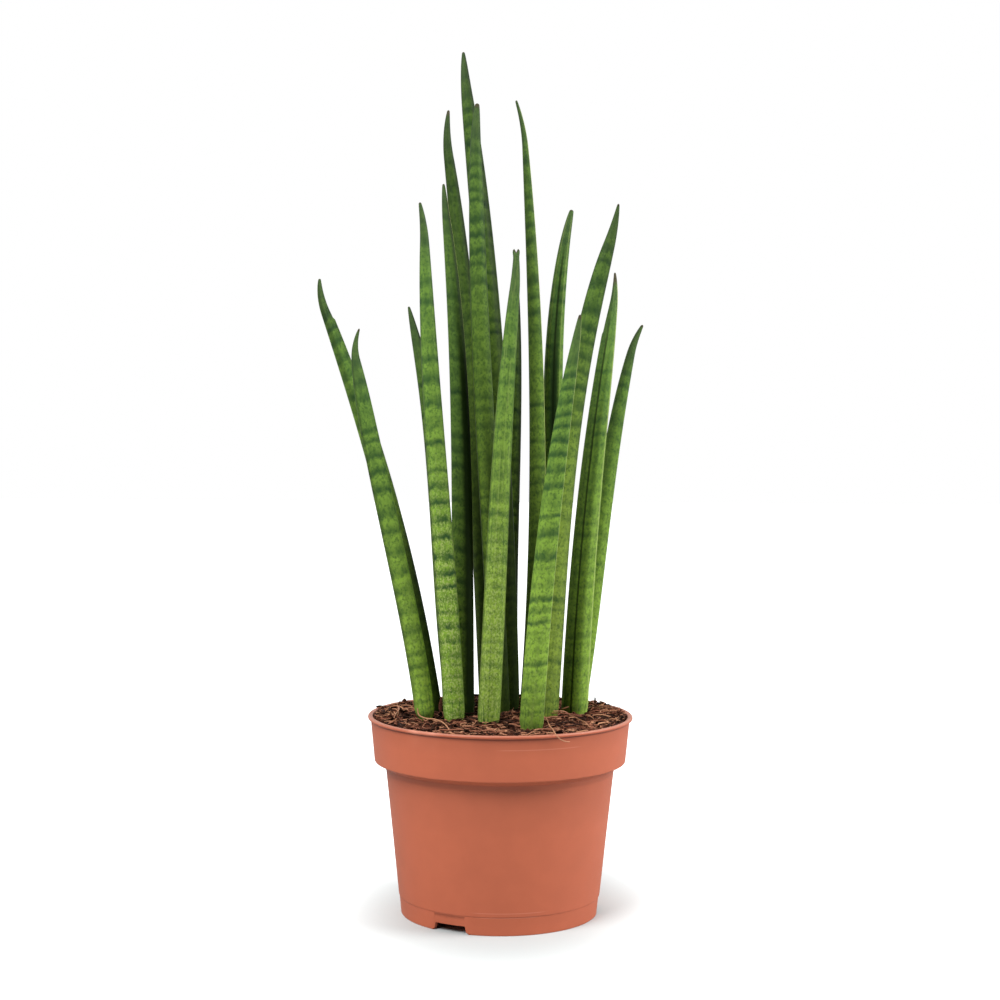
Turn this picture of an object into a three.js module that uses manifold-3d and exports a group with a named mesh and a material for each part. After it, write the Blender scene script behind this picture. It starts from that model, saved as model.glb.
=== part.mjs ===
// A mikado snake plant in a plastic nursery pot. Millimetres, +Z up.
//
// The pot, the soil and each leaf are separate closed solids that only rest in each other. All of
// them are laid out round the pot's own axis, and the whole plant is then moved so that the origin
// is under the middle of its box, on the surface that the pot stands on.

import * as THREE from 'three';
import { mergeVertices } from 'three/addons/utils/BufferGeometryUtils.js';
import Module from 'manifold-3d';

const wasm = await Module();
wasm.setup();

// Clearance between two solids that touch on the real plant
const GAP = 0.3;

// Vertices closer than this are one vertex
const MERGE_DISTANCE = 1e-4;

// The pot: radii from its axis, heights from the surface that it stands on
const POT_SIDES = 44;
const WALL = 1.3;
const FOOT = { innerRadius: 61, outerRadius: 63.1, edge: 0.4, stepHeight: 12, stepDepth: 0.9 };
const FLOOR = { underside: 6, top: 7.6, fillet: 2 };
const BODY = { radiusAtBase: 63.8, flare: 0.1, top: 91.5 };
const SHOULDER = { centreRadius: 73.4, width: 6.3, bottom: 93, top: 99.5, segments: 3 };
const BAND = { topRadius: 82.05, top: 124.6 };
const LIP = { centreRadius: 83, centreHeight: 126.3, width: 2, height: 1.3, segments: 4 };
const NOTCH = { count: 3, firstAngle: -119, bottomWidth: 22.5, topWidth: 20, height: 4.9 };
const DRAIN = { count: 6, radius: 4.5, fromAxis: 40, sides: 12 };

// The soil: its mean level in the middle and at the wall, and the height of its crumbs
const SOIL = { level: 126, levelAtWall: 125.3, crumb: 0.9, rings: 8 };

// The waves that lump the soil: how far apart along x and y, each over two pi, and each one's share
const LUMPS = {
  coarse: { x: 6.3, y: 7.2, share: 0.5 },
  slanted: { x: 11.3, y: 6.6, share: 0.3 },
  fine: { x: 3.1, y: 4.4, share: 0.2 },
};

// The leaves: how deep they are buried, how their point starts to curl and the shape of the channel
const LEAF_SIDES = 12;
const LEAF_STEPS = 15;
const BURIED = 24;
const BURIED_TAPER = 0.8;
const HOOK_START = 0.92;
const POINT_CROWDING = 1.35;
const GIRTH_CURVE = 0.8;
const CHANNEL = { depth: 0.22, halfWidth: 26 };

// Each leaf, from its foot in the soil to its point:
// foot     where it leaves the soil, x to the right and y to the back
// tip      where its spine would end without the hook, and its height above the floor
// bow      how far the spine swings to the right of a straight line, low down and high up
// hook     how far the last stretch bends to the right
// girth    its largest diameter
// taper    how slowly it thickens from the point down
// channel  the direction in plan that the channel faces, in degrees from +X
// blunt    the radius of its point, larger where the point is broken or rounded off
function leafShape(foot, tip, bow, hook, girth, taper, channel, blunt = 0.4) {
  return { foot, tip, bow, hook, girth, taper, channel, blunt };
}

const LEAVES = [
  leafShape([-45.5, 22], [-126, 40, 409.5], [12, 14], 5, 15, 65, 150),
  leafShape([-47.5, -13], [-92.5, -50, 372.5], [5.5, -5.5], 3.5, 12, 33, 110),
  leafShape([-29, 30], [-62.5, 38, 391.5], [-10, 17], 0.5, 14.5, 50, 80),
  leafShape([-29.5, -9], [-49.5, -30, 452], [1.5, -5.5], -2.5, 14, 66, 90),
  leafShape([-23.5, 12], [-39.5, 22, 470], [3.5, 11], 1, 14.5, 79, 10),
  leafShape([-7, 54], [-42, 80, 527], [5, 9.5], 4.5, 14.5, 65, 100),
  leafShape([4.5, 38], [-28.5, 48, 560], [7, 10], 1.5, 17, 61, 90),
  leafShape([0, 19], [-18, 4, 519], [0, -6.5], 1, 13, 49, 90, 1.1),
  leafShape([6, 62], [7.5, 80, 431.5], [-5, 4.5], 2.5, 14, 65, 80),
  leafShape([-7.5, -22], [10, -52, 421], [-0.5, -5], -1.5, 15, 70, 90, 1.6),
  leafShape([19.5, 46], [12, 66, 531.5], [12, 9], -4, 14, 125, 10),
  leafShape([19.5, -44], [47, -74, 380.5], [-4.5, -6], -0.5, 16.5, 67, 15),
  leafShape([30, 0], [74.5, -20, 453], [-8.5, -22], -2.5, 14.5, 37, 85),
  leafShape([48.5, 18], [75.5, 24, 413.5], [-5.5, -6], -2.5, 18, 73, -113),
  leafShape([50.5, 44], [91.5, 62, 381.5], [0.5, -8.5], 3, 14, 56, 60),
  leafShape([30, 60], [46.5, 82, 460.5], [8, -17], 0.5, 15, 54, -90, 1.2),
];

// The strands that lie singly on the soil. Each route is a list of points: right, back and height
// above the mean level. An end below the surface is rooted in the soil.
const STRAND_SIDES = 4;
const LONG_STRANDS = [
  [[-51.5, -22.5, 8], [-50.5, -23, 3.5], [-45, -29, 1.2], [-38, -40, 1.2], [-33, -55, 1.4], [-28.5, -70, -2]],
  [
    [30, -18, -2], [31.5, -36, 1.2], [33, -56, 1.4], [35, -70, 2.8],
    [36, -75.5, 3.3], [36.5, -80, 0.5], [41, -79, -2.4],
  ],
  [[41, 2, -2], [45, -12, 1.5], [50, -27, 1.6], [54, -41, 1.2], [57, -52, -2]],
  [[37, 12, -2], [40.5, 9, 3.6], [45, 3, 5.4]],
  [[47, 2, -2], [42.5, -1, 2.5], [36.5, -9, 4.2]],
  [[-74, -2, -2], [-70, 14, 2.4], [-68, 7, 3], [-69, -8, 1.4], [-68, -22, -2]],
];
const LONG_STRAND_THICKNESS = 0.9;

// The shorter fibres, scattered by a seeded draw
const FIBRE = {
  count: 20,
  seed: 7,
  thickness: 1,
  shortest: 12,
  longest: 26,
  lowestArch: 1,
  highestArch: 2.4,
  sidewaysBend: 5,
  farthestFromAxis: 74,
  clearOfLeaves: 1.6,
};

const FINISHES = {
  pot: { color: 0xbd6a4e, roughness: 0.55, metalness: 0 },
  soil: { color: 0x3d261c, roughness: 0.95, metalness: 0 },
  leaf: { color: 0x5b8a33, roughness: 0.4, metalness: 0 },
};

const radians = THREE.MathUtils.degToRad;

// Geometry to a solid that can be joined and cut, and back again

function toSolid(geometry) {
  const bare = geometry.index ? geometry.clone() : geometry;
  bare.deleteAttribute('normal');
  bare.deleteAttribute('uv');
  const merged = mergeVertices(bare, MERGE_DISTANCE);
  const mesh = new wasm.Mesh({
    numProp: 3,
    vertProperties: new Float32Array(merged.attributes.position.array),
    triVerts: new Uint32Array(merged.index.array),
  });
  return new wasm.Manifold(mesh);
}

function toGeometry(solid) {
  const mesh = solid.getMesh();
  const geometry = new THREE.BufferGeometry();
  geometry.setAttribute('position', new THREE.BufferAttribute(new Float32Array(mesh.vertProperties), 3));
  geometry.setIndex(new THREE.BufferAttribute(new Uint32Array(mesh.triVerts), 1));
  return geometry;
}

// A body of revolution about +Z from [radius, height] points that start and end on the axis
function turned(profile) {
  const points = profile.map(([radius, height]) => new THREE.Vector2(radius, height));
  const geometry = new THREE.LatheGeometry(points, POT_SIDES);
  geometry.rotateX(Math.PI / 2);
  return geometry;
}

// A body through rings of points, with a fan over each end
function lofted(rings) {
  const sides = rings[0].length;
  const ends = [rings[0], rings[rings.length - 1]].map((ring) => {
    const middle = new THREE.Vector3();
    ring.forEach((point) => middle.add(point));
    return middle.divideScalar(sides);
  });
  const vertices = [...rings.flat(), ...ends];
  const bottom = vertices.length - 2;
  const top = vertices.length - 1;
  const lastRing = (rings.length - 1) * sides;
  const faces = [];
  for (let side = 0; side < sides; side += 1) {
    const next = (side + 1) % sides;
    for (let start = 0; start < lastRing; start += sides) {
      faces.push(start + side, start + next, start + sides + next);
      faces.push(start + side, start + sides + next, start + sides + side);
    }
    faces.push(bottom, next, side);
    faces.push(top, lastRing + side, lastRing + next);
  }
  const geometry = new THREE.BufferGeometry();
  const coordinates = vertices.flatMap((vertex) => vertex.toArray());
  geometry.setAttribute('position', new THREE.Float32BufferAttribute(coordinates, 3));
  geometry.setIndex(faces);
  return geometry;
}

// Pot

// A quarter or half of an ellipse as [radius, height] points
function arc(centreRadius, centreHeight, width, height, fromDegrees, toDegrees, segments) {
  const points = [];
  for (let i = 0; i <= segments; i += 1) {
    const angle = radians(fromDegrees + ((toDegrees - fromDegrees) * i) / segments);
    points.push([centreRadius + width * Math.cos(angle), centreHeight + height * Math.sin(angle)]);
  }
  return points;
}

function bodyRadius(height) {
  return BODY.radiusAtBase + BODY.flare * height;
}

// The inside of the wall from the floor up to the lip
function innerWall() {
  const { centreRadius, width, bottom, top, segments } = SHOULDER;
  return [
    [bodyRadius(FLOOR.top) - WALL - FLOOR.fillet / 2, FLOOR.top],
    [bodyRadius(FLOOR.top + FLOOR.fillet) - WALL, FLOOR.top + FLOOR.fillet],
    [bodyRadius(BODY.top) - WALL, BODY.top + WALL],
    ...arc(centreRadius, top, width - WALL, top - bottom - WALL, -90, 0, segments),
    [BAND.topRadius - WALL, BAND.top],
  ];
}

function potProfile() {
  const { centreRadius, width, bottom, top, segments } = SHOULDER;
  const outside = [
    [0, FLOOR.underside],
    [FOOT.innerRadius, FLOOR.underside],
    [FOOT.innerRadius, FOOT.edge],
    [FOOT.innerRadius + FOOT.edge, 0],
    [FOOT.outerRadius - FOOT.edge, 0],
    [FOOT.outerRadius, FOOT.edge],
    [bodyRadius(FOOT.stepHeight) - FOOT.stepDepth, FOOT.stepHeight - FOOT.edge],
    [bodyRadius(FOOT.stepHeight), FOOT.stepHeight],
    [bodyRadius(BODY.top), BODY.top],
    ...arc(centreRadius, top, width, top - bottom, -90, 0, segments),
    [BAND.topRadius, BAND.top],
  ];
  const lip = arc(LIP.centreRadius, LIP.centreHeight, LIP.width, LIP.height, -90, 90, LIP.segments);
  const lipInside = [
    [BAND.topRadius - WALL / 2, LIP.centreHeight + LIP.height],
    [BAND.topRadius - WALL, LIP.centreHeight + LIP.height / 2],
  ];
  return [...outside, ...lip, ...lipInside, ...innerWall().reverse(), [0, FLOOR.top]];
}

// One notch through the foot ring, wider at the bottom, centred on an angle in plan. The cutter
// runs on below the foot with the same slope.
function notch(angle) {
  const depth = 12;
  const below = 1;
  const slope = (NOTCH.bottomWidth - NOTCH.topWidth) / 2 / NOTCH.height;
  const halfTop = NOTCH.topWidth / 2;
  const halfBottom = NOTCH.bottomWidth / 2 + slope * below;
  const outline = new THREE.Shape([
    new THREE.Vector2(-halfBottom, -below),
    new THREE.Vector2(halfBottom, -below),
    new THREE.Vector2(halfTop, NOTCH.height),
    new THREE.Vector2(-halfTop, NOTCH.height),
  ]);
  const geometry = new THREE.ExtrudeGeometry(outline, { depth, bevelEnabled: false });
  geometry.rotateX(Math.PI / 2);
  geometry.translate(0, FOOT.outerRadius + depth / 2, 0);
  geometry.rotateZ(radians(angle - 90));
  return geometry;
}

function drainHole(angle) {
  const height = 3 * (FLOOR.top - FLOOR.underside);
  const geometry = new THREE.CylinderGeometry(DRAIN.radius, DRAIN.radius, height, DRAIN.sides);
  geometry.rotateX(Math.PI / 2);
  geometry.translate(DRAIN.fromAxis, 0, (FLOOR.top + FLOOR.underside) / 2);
  geometry.rotateZ(radians(angle));
  return geometry;
}

function potGeometry() {
  let pot = toSolid(turned(potProfile()));
  for (let i = 0; i < NOTCH.count; i += 1) {
    pot = pot.subtract(toSolid(notch(NOTCH.firstAngle + (360 * i) / NOTCH.count)));
  }
  for (let i = 0; i < DRAIN.count; i += 1) {
    pot = pot.subtract(toSolid(drainHole((360 * i) / DRAIN.count)));
  }
  return toGeometry(pot);
}

// Leaves

// The spine of a leaf: a cubic curve whose inner handles are set off sideways by the bow, with the
// hook added near the point. A negative share runs straight on into the soil.
function spinePoint(leaf, share) {
  const [footX, footY] = leaf.foot;
  const [tipX, tipY, tipZ] = leaf.tip;
  const along = (part) => new THREE.Vector3(
    THREE.MathUtils.lerp(footX, tipX, part),
    THREE.MathUtils.lerp(footY, tipY, part),
    THREE.MathUtils.lerp(SOIL.level, tipZ, part),
  );
  const low = along(1 / 3);
  const high = along(2 / 3);
  low.x += leaf.bow[0];
  high.x += leaf.bow[1];
  const curve = new THREE.CubicBezierCurve3(along(0), low, high, along(1));
  if (share < 0) {
    return curve.getPoint(0).addScaledVector(low.sub(along(0)), 3 * share);
  }
  const point = curve.getPoint(share);
  const curled = Math.max(0, share - HOOK_START) / (1 - HOOK_START);
  point.x += leaf.hook * curled ** 2;
  return point;
}

function leafLength(leaf) {
  return spinePoint(leaf, 0).distanceTo(spinePoint(leaf, 1));
}

// The leaf thickens fast below its point, then ever more slowly down to its foot
function leafRadius(leaf, share) {
  const belowPoint = (1 - share) * leafLength(leaf);
  const full = 1 - Math.exp(-((belowPoint / leaf.taper) ** GIRTH_CURVE));
  const pinch = share < 0 ? BURIED_TAPER : 1;
  return Math.max(leaf.blunt, (leaf.girth / 2) * full * pinch);
}

// One ring across the leaf: a circle with the channel pressed into it
function leafRing(leaf, share, swell) {
  const step = 1e-3;
  const centre = spinePoint(leaf, share);
  const from = share + step > 1 ? spinePoint(leaf, share - step) : centre;
  const to = share + step > 1 ? centre : spinePoint(leaf, share + step);
  const tangent = to.clone().sub(from).normalize();
  const facing = radians(leaf.channel);
  const towards = new THREE.Vector3(Math.cos(facing), Math.sin(facing), 0);
  towards.addScaledVector(tangent, -towards.dot(tangent)).normalize();
  const across = tangent.clone().cross(towards);
  const ring = [];
  for (let i = 0; i < LEAF_SIDES; i += 1) {
    const turn = (360 * i) / LEAF_SIDES;
    const fromChannel = Math.min(turn, 360 - turn);
    const pressed = 1 - CHANNEL.depth * Math.exp(-((fromChannel / CHANNEL.halfWidth) ** 2));
    const radius = leafRadius(leaf, share) * pressed + swell;
    const point = centre.clone();
    point.addScaledVector(towards, radius * Math.cos(radians(turn)));
    point.addScaledVector(across, radius * Math.sin(radians(turn)));
    ring.push(point);
  }
  return ring;
}

function leafGeometry(leaf) {
  const shares = [-BURIED / leafLength(leaf)];
  for (let i = 0; i <= LEAF_STEPS; i += 1) {
    shares.push(1 - (1 - i / LEAF_STEPS) ** POINT_CROWDING);
  }
  return lofted(shares.map((share) => leafRing(leaf, share, 0)));
}

// The plain hole that a leaf stands in, open at the top of the soil
function leafHole(leaf) {
  const length = leafLength(leaf);
  const above = 10;
  const heights = [-BURIED - GAP, 0, above];
  const rings = heights.map((height) => leafRing(leaf, height / length, GAP));
  return lofted(rings);
}

// Soil

// The height of the lumpy surface at a place: it falls a little to the wall, and three waves of
// different lengths and directions raise its crumbs
function soilHeight(x, y) {
  const { coarse, slanted, fine } = LUMPS;
  const fromAxis = Math.hypot(x, y) / (BAND.topRadius - WALL);
  const level = THREE.MathUtils.lerp(SOIL.level, SOIL.levelAtWall, fromAxis ** 4);
  const lumps = coarse.share * Math.sin(x / coarse.x) * Math.cos(y / coarse.y)
    + slanted.share * Math.sin(x / slanted.x + y / slanted.y)
    + fine.share * Math.sin(x / fine.x - y / fine.y);
  return level + SOIL.crumb * lumps;
}

function soilBody() {
  const clear = 1.2 * GAP;
  const side = innerWall().map(([radius, height]) => [radius - clear, height + clear]);
  const edge = BAND.topRadius - WALL - clear;
  const top = [];
  for (let i = SOIL.rings; i >= 0; i -= 1) {
    top.push([(edge * i) / SOIL.rings, SOIL.level]);
  }
  const geometry = turned([[0, FLOOR.top + clear], ...side, ...top]);
  const position = geometry.attributes.position;
  const justBelow = SOIL.level - 1e-3;
  for (let i = 0; i < position.count; i += 1) {
    if (position.getZ(i) > justBelow) {
      position.setZ(i, soilHeight(position.getX(i), position.getY(i)));
    }
  }
  return toSolid(geometry);
}

// A strand with a square section along a smooth curve through its points
function strand(points, thickness) {
  const curve = new THREE.CatmullRomCurve3(points, false, 'centripetal');
  const steps = points.length + 1;
  const frames = curve.computeFrenetFrames(steps, false);
  const rings = [];
  for (let i = 0; i <= steps; i += 1) {
    const centre = curve.getPointAt(i / steps);
    const ring = [];
    for (let side = 0; side < STRAND_SIDES; side += 1) {
      const turn = (2 * Math.PI * side) / STRAND_SIDES;
      const point = centre.clone();
      point.addScaledVector(frames.normals[i], (thickness / 2) * Math.cos(turn));
      point.addScaledVector(frames.binormals[i], (thickness / 2) * Math.sin(turn));
      ring.push(point);
    }
    rings.push(ring);
  }
  return lofted(rings);
}

// Numbers between two bounds from the minimal standard generator, the same on every run
function seededDraw(seed) {
  const multiplier = 48271;
  const modulus = 2147483647;
  let state = seed;
  return (low, high) => {
    state = (state * multiplier) % modulus;
    return low + (high - low) * (state / modulus);
  };
}

function isClearOfLeaves(points) {
  return LEAVES.every((leaf) => points.every((point) => {
    const fromFoot = Math.hypot(point.x - leaf.foot[0], point.y - leaf.foot[1]);
    return fromFoot > leaf.girth / 2 + FIBRE.clearOfLeaves;
  }));
}

// Short fibres that leave the soil, arch over it and go back in. A fibre that would meet a leaf or
// the wall is drawn again.
function scatteredFibres() {
  const draw = seededDraw(FIBRE.seed);
  const fibres = [];
  while (fibres.length < FIBRE.count) {
    const angle = draw(0, 2 * Math.PI);
    const fromAxis = FIBRE.farthestFromAxis * Math.sqrt(draw(0, 1));
    const heading = draw(0, 2 * Math.PI);
    const reach = draw(FIBRE.shortest, FIBRE.longest) / 2;
    const bend = draw(-FIBRE.sidewaysBend, FIBRE.sidewaysBend);
    const arch = draw(FIBRE.lowestArch, FIBRE.highestArch);
    const points = [-1, -0.5, 0, 0.5, 1].map((share) => {
      const along = reach * share;
      const aside = bend * (1 - share ** 2);
      const x = fromAxis * Math.cos(angle) + along * Math.cos(heading) - aside * Math.sin(heading);
      const y = fromAxis * Math.sin(angle) + along * Math.sin(heading) + aside * Math.cos(heading);
      const rise = arch * (1 - share ** 2) - FIBRE.thickness * share ** 2;
      return new THREE.Vector3(x, y, soilHeight(x, y) + rise);
    });
    const isInPot = points.every((point) => Math.hypot(point.x, point.y) < FIBRE.farthestFromAxis);
    if (isInPot && isClearOfLeaves(points)) {
      fibres.push(strand(points, FIBRE.thickness));
    }
  }
  return fibres;
}

function longStrands() {
  return LONG_STRANDS.map((route) => {
    const points = route.map(([x, y, above]) => new THREE.Vector3(x, y, SOIL.level + above));
    return strand(points, LONG_STRAND_THICKNESS);
  });
}

function soilGeometry() {
  let soil = soilBody();
  LEAVES.forEach((leaf) => {
    soil = soil.subtract(toSolid(leafHole(leaf)));
  });
  [...longStrands(), ...scatteredFibres()].forEach((geometry) => {
    soil = soil.add(toSolid(geometry));
  });
  return toGeometry(soil);
}

// The plant

function namedMesh(name, geometry, finish) {
  const mesh = new THREE.Mesh(geometry, new THREE.MeshStandardMaterial(finish));
  mesh.name = name;
  return mesh;
}

const plant = new THREE.Group();
plant.add(namedMesh('pot', potGeometry(), FINISHES.pot));
plant.add(namedMesh('soil', soilGeometry(), FINISHES.soil));
LEAVES.forEach((leaf, index) => {
  const name = `leaf_${String(index + 1).padStart(2, '0')}`;
  plant.add(namedMesh(name, leafGeometry(leaf), FINISHES.leaf));
});

const middle = new THREE.Box3().setFromObject(plant).getCenter(new THREE.Vector3());
plant.position.set(-middle.x, -middle.y, 0);

const model = new THREE.Group();
model.add(plant);

export default model;
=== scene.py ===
"""A mikado snake plant in a plastic nursery pot: the finished surfaces of the pot, soil and leaves.

Laid out as an add-on. It has settings for sizes and colours, one operator for each group of like
pieces and one for the stage, and a panel in the sidebar. Lengths are in metres, +Z is up, and
heights are above the floor that the pot stands on.
"""

import math

import bpy
import numpy as np
from bpy.props import FloatProperty, FloatVectorProperty, IntProperty, PointerProperty
from bpy.types import Operator, Panel, PropertyGroup
from mathutils import Matrix, Vector


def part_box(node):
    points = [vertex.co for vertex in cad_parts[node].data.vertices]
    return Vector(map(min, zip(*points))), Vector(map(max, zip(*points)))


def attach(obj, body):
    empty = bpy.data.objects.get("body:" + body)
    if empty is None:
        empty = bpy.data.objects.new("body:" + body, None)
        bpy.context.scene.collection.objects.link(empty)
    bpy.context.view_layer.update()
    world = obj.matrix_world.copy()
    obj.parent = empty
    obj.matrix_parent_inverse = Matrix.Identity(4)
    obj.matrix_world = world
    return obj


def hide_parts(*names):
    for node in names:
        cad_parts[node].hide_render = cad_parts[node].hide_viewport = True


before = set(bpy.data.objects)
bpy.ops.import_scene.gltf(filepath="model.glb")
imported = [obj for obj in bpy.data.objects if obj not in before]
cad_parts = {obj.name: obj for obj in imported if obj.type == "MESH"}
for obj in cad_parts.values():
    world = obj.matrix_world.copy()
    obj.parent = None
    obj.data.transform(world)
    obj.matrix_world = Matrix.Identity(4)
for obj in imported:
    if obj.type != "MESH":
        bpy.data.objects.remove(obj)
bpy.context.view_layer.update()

bl_info = {
    "name": "Potted mikado snake plant",
    "version": (1, 0, 0),
    "blender": (4, 5, 0),
    "location": "3D View > Sidebar > Snake Plant",
    "description": "Builds a mikado snake plant in a plastic nursery pot",
    "category": "Object",
}

MM = 0.001

# The pot's own axis, under which the frame's pot stands
POT_LOW, POT_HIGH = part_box("pot")
POT_AXIS = np.array([(POT_LOW.x + POT_HIGH.x) / 2, (POT_LOW.y + POT_HIGH.y) / 2, 0.0])

# The pot: radii from its axis and heights from the floor
WALL = 1.3 * MM
FOOT_INSIDE = 61 * MM
FOOT_OUTSIDE = 63.4 * MM
FOOT_EDGE = 0.4 * MM
STEP_HEIGHT = 12 * MM
STEP_DEPTH = 0.35 * MM
FLOOR_UNDERSIDE = 6 * MM
FLOOR_TOP = 7.6 * MM
FLOOR_FILLET = 2 * MM
BODY_RADIUS_AT_BASE = 63.6 * MM
BODY_FLARE = 0.106
BODY_TOP = 91.5 * MM
LEDGE_RADIUS = 74.3 * MM
LEDGE_HEIGHT = 95.2 * MM
BAND_EDGE_RADIUS = 80.8 * MM
BAND_EDGE_HEIGHT = 98.4 * MM
BAND_TOP_RADIUS = 83.35 * MM
BAND_TOP = 125 * MM
LIP_RADIUS = 83.95 * MM
LIP_HEIGHT = 126.4 * MM
LIP_HALF_WIDTH = 1.3 * MM
LIP_HALF_HEIGHT = 1.15 * MM
# Faint pale lines of the mould: height, then from where to where across, measured from the axis
MOULD_LINES = [
    (118.3 * MM, -4 * MM, 52 * MM),
    (14.3 * MM, -19 * MM, 31 * MM),
    (11.4 * MM, -17 * MM, 28 * MM),
]
MOULD_LINE_FADE = 8 * MM
# The rough place on the lip: its direction round the axis and half width in degrees, and half height
LIP_FLAW_DIRECTION = -124
LIP_FLAW_HALF_WIDTH = 7
LIP_FLAW_HALF_HEIGHT = 1.6 * MM
# Painted shade in the corners under the lip and the band: height of its middle, half height and strength
LIP_PAINTED_SHADE = (BAND_TOP + 0.3 * MM, 1 * MM, 0.75)
BAND_PAINTED_SHADE = (LEDGE_HEIGHT - 3 * MM, 3.5 * MM, 0.2)
# The notches in the foot: on each side of a notch, angles from its middle and the lift there
NOTCH_COUNT = 3
NOTCH_FIRST_ANGLE = -119
NOTCH_MIDDLES = NOTCH_FIRST_ANGLE + 360 / NOTCH_COUNT * np.arange(NOTCH_COUNT)
NOTCH_HEIGHT = 4.9 * MM
NOTCH_SIDE_ANGLES = np.array([9.3, 9.6, 10.3, 12.0])
NOTCH_SIDE_HEIGHTS = NOTCH_HEIGHT * np.array([1, 0.93, 0.22, 0])
# The drain holes, and the steps of the floor's mesh from the rim inwards, round its middle and from
# a hole outwards
DRAIN_COUNT = 6
DRAIN_RADIUS = 4.5 * MM
DRAIN_FROM_AXIS = 40 * MM
INWARD_STEPS = 8
INNER_STEPS = 12
OUTWARD_STEPS = 3

# The soil: its edge, its mean level in the middle and at the wall, its lumps, its gap to the pot,
# the dip round each leaf, and how much higher the litter is piled at the back
SOIL_EDGE = BAND_TOP_RADIUS - 1.28 * WALL
SOIL_LEVEL = 126 * MM
SOIL_LEVEL_AT_WALL = 126.2 * MM
SOIL_LUMP = 0.9 * MM
SOIL_CLEARANCE = 0.4 * MM
FOOT_DIP = 1.5 * MM
FOOT_DIP_REACH = 3 * MM
PILE = 1.6 * MM
PILE_REACH = 30 * MM
# The relief of the bed: the cells of its coarse and fine crumbs and of its grit, how far it is
# lowered, and how near the wall it fades
COARSE_CELL = 3.6 * MM
FINE_CELL = 1.5 * MM
GRIT_CELL = 0.9 * MM
GRIT_HEIGHT = 0.2 * MM
RELIEF_DROP = 2.4 * MM
RELIEF_FADE = 2 * MM
# Shares of the crumbs and fibres up to which they are dark, then turn paler
TONE_SHARES = [0, 0.4, 0.55, 1]
FIBRE_STEPS = 7
# A bunch of tan fibres: its middle, its spread and how many there are
BUNCH_MIDDLE = (73 * MM, 12 * MM)
BUNCH_SPREAD = 5.5 * MM
BUNCH_COUNT = 90
# Corners across and along each random table, which repeats past them
NOISE_CELLS = 256

# The leaves: how deep they are buried, where their point starts to curl, and how the channel is
# pressed in with a low ridge on each side, at angles in degrees from its middle
BURIED = 24 * MM
BURIED_TAPER = 0.8
HOOK_START = 0.92
GIRTH_CURVE = 0.8
CHANNEL_DEPTH = 0.22
CHANNEL_HALF_WIDTH = 26
RIDGE_HEIGHT = 0.025
RIDGE_ANGLE = 42
RIDGE_HALF_WIDTH = 8
POINT_FADE = 25 * MM
DOME_END = 0.02
NOTCH_REACH = 1.8 * MM
HORN_SPREAD = 0.4
# A shoulder near the point: over what height it rises, half its width in degrees and how it fades
STEP_RISE = 0.8 * MM
STEP_HALF_WIDTH = 30
STEP_FADE = 25 * MM
# How the columns crowd into the channel and the rows towards the point
COLUMN_CROWDING = 0.35
ROW_CROWDING = 1.5
# The painted shade of a side fades over this share of the leaf at its upper end, and the painted
# shade of a flank between these angles from straight across the channel
PAINTED_DARK_SIDE_FADE = 0.15
PAINTED_FLANK_FADE = (45, 10)
# How much of a leaf's painted shade its plain top takes, and how far apart two leaves read the noise
TOP_SHADE = 0.45
SKIN_OFFSET = 0.37

# The soft lights: how far round from the camera's side and how far up, in degrees, and their power
SOFT_LIGHTS = [(-38, 42, 39.0), (80, 25, 34.0)]
SOFT_LIGHT_WIDTH = 1.1
SOFT_LIGHT_DISTANCE = 1.8
SOFT_LIGHT_AIM = 0.28
# The floor and its soft shade: how much wider it is than deep, and from where to where it fades
FLOOR_WIDTH = 12.0
FLOOR_WHITENESS = 0.57
FLOOR_TINT = (0.95, 1.02, 1.02)
FLOOR_SHADE = (1, 0.6, 1)
FLOOR_SHADE_FROM = 0.045
FLOOR_SHADE_TO = 0.16
# Where the surround turns from its front to its back strength, as a part of the depth direction
SURROUND_TURN = 0.7
# The camera: how far right of the pot's axis it stands, its sensor in millimetres, and its sight
CAMERA_ASIDE = -1 * MM
SENSOR_WIDTH = 36
SIGHT = 20


def leaf_shape(foot, tip, bow, hook, girth, taper, channel, blunt=0.7, **looks):
    """One leaf, in millimetres and degrees round the pot's axis.

    foot is where it leaves the soil, and tip where its spine would end without the hook. bow swings
    the spine to the right, low down and high up, and hook bends its last stretch. girth is its
    largest diameter and taper how slowly it thickens. channel is the direction that the channel
    faces, and blunt the radius of its point. looks are what only this leaf has.
    """
    shape = {
        "foot": np.array([*foot, SOIL_LEVEL / MM]) * MM + POT_AXIS,
        "tip": np.array(tip) * MM + POT_AXIS,
        "bow": np.array(bow) * MM,
        "hook": hook * MM,
        "girth": girth * MM,
        "taper": taper * MM,
        "channel": math.radians(channel),
        "blunt": blunt * MM,
    }
    return {**LEAF_LOOKS, **shape, **looks}


def dark_side(direction, amount, reach=1.2, inner=37, outer=107):
    """A side of a leaf darkened by painted shade: its direction round from the right, how dark it is,
    how far up the leaf it runs as a share of its length, and over what angles from its middle it fades."""
    return direction, amount, reach, inner, outer
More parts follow.
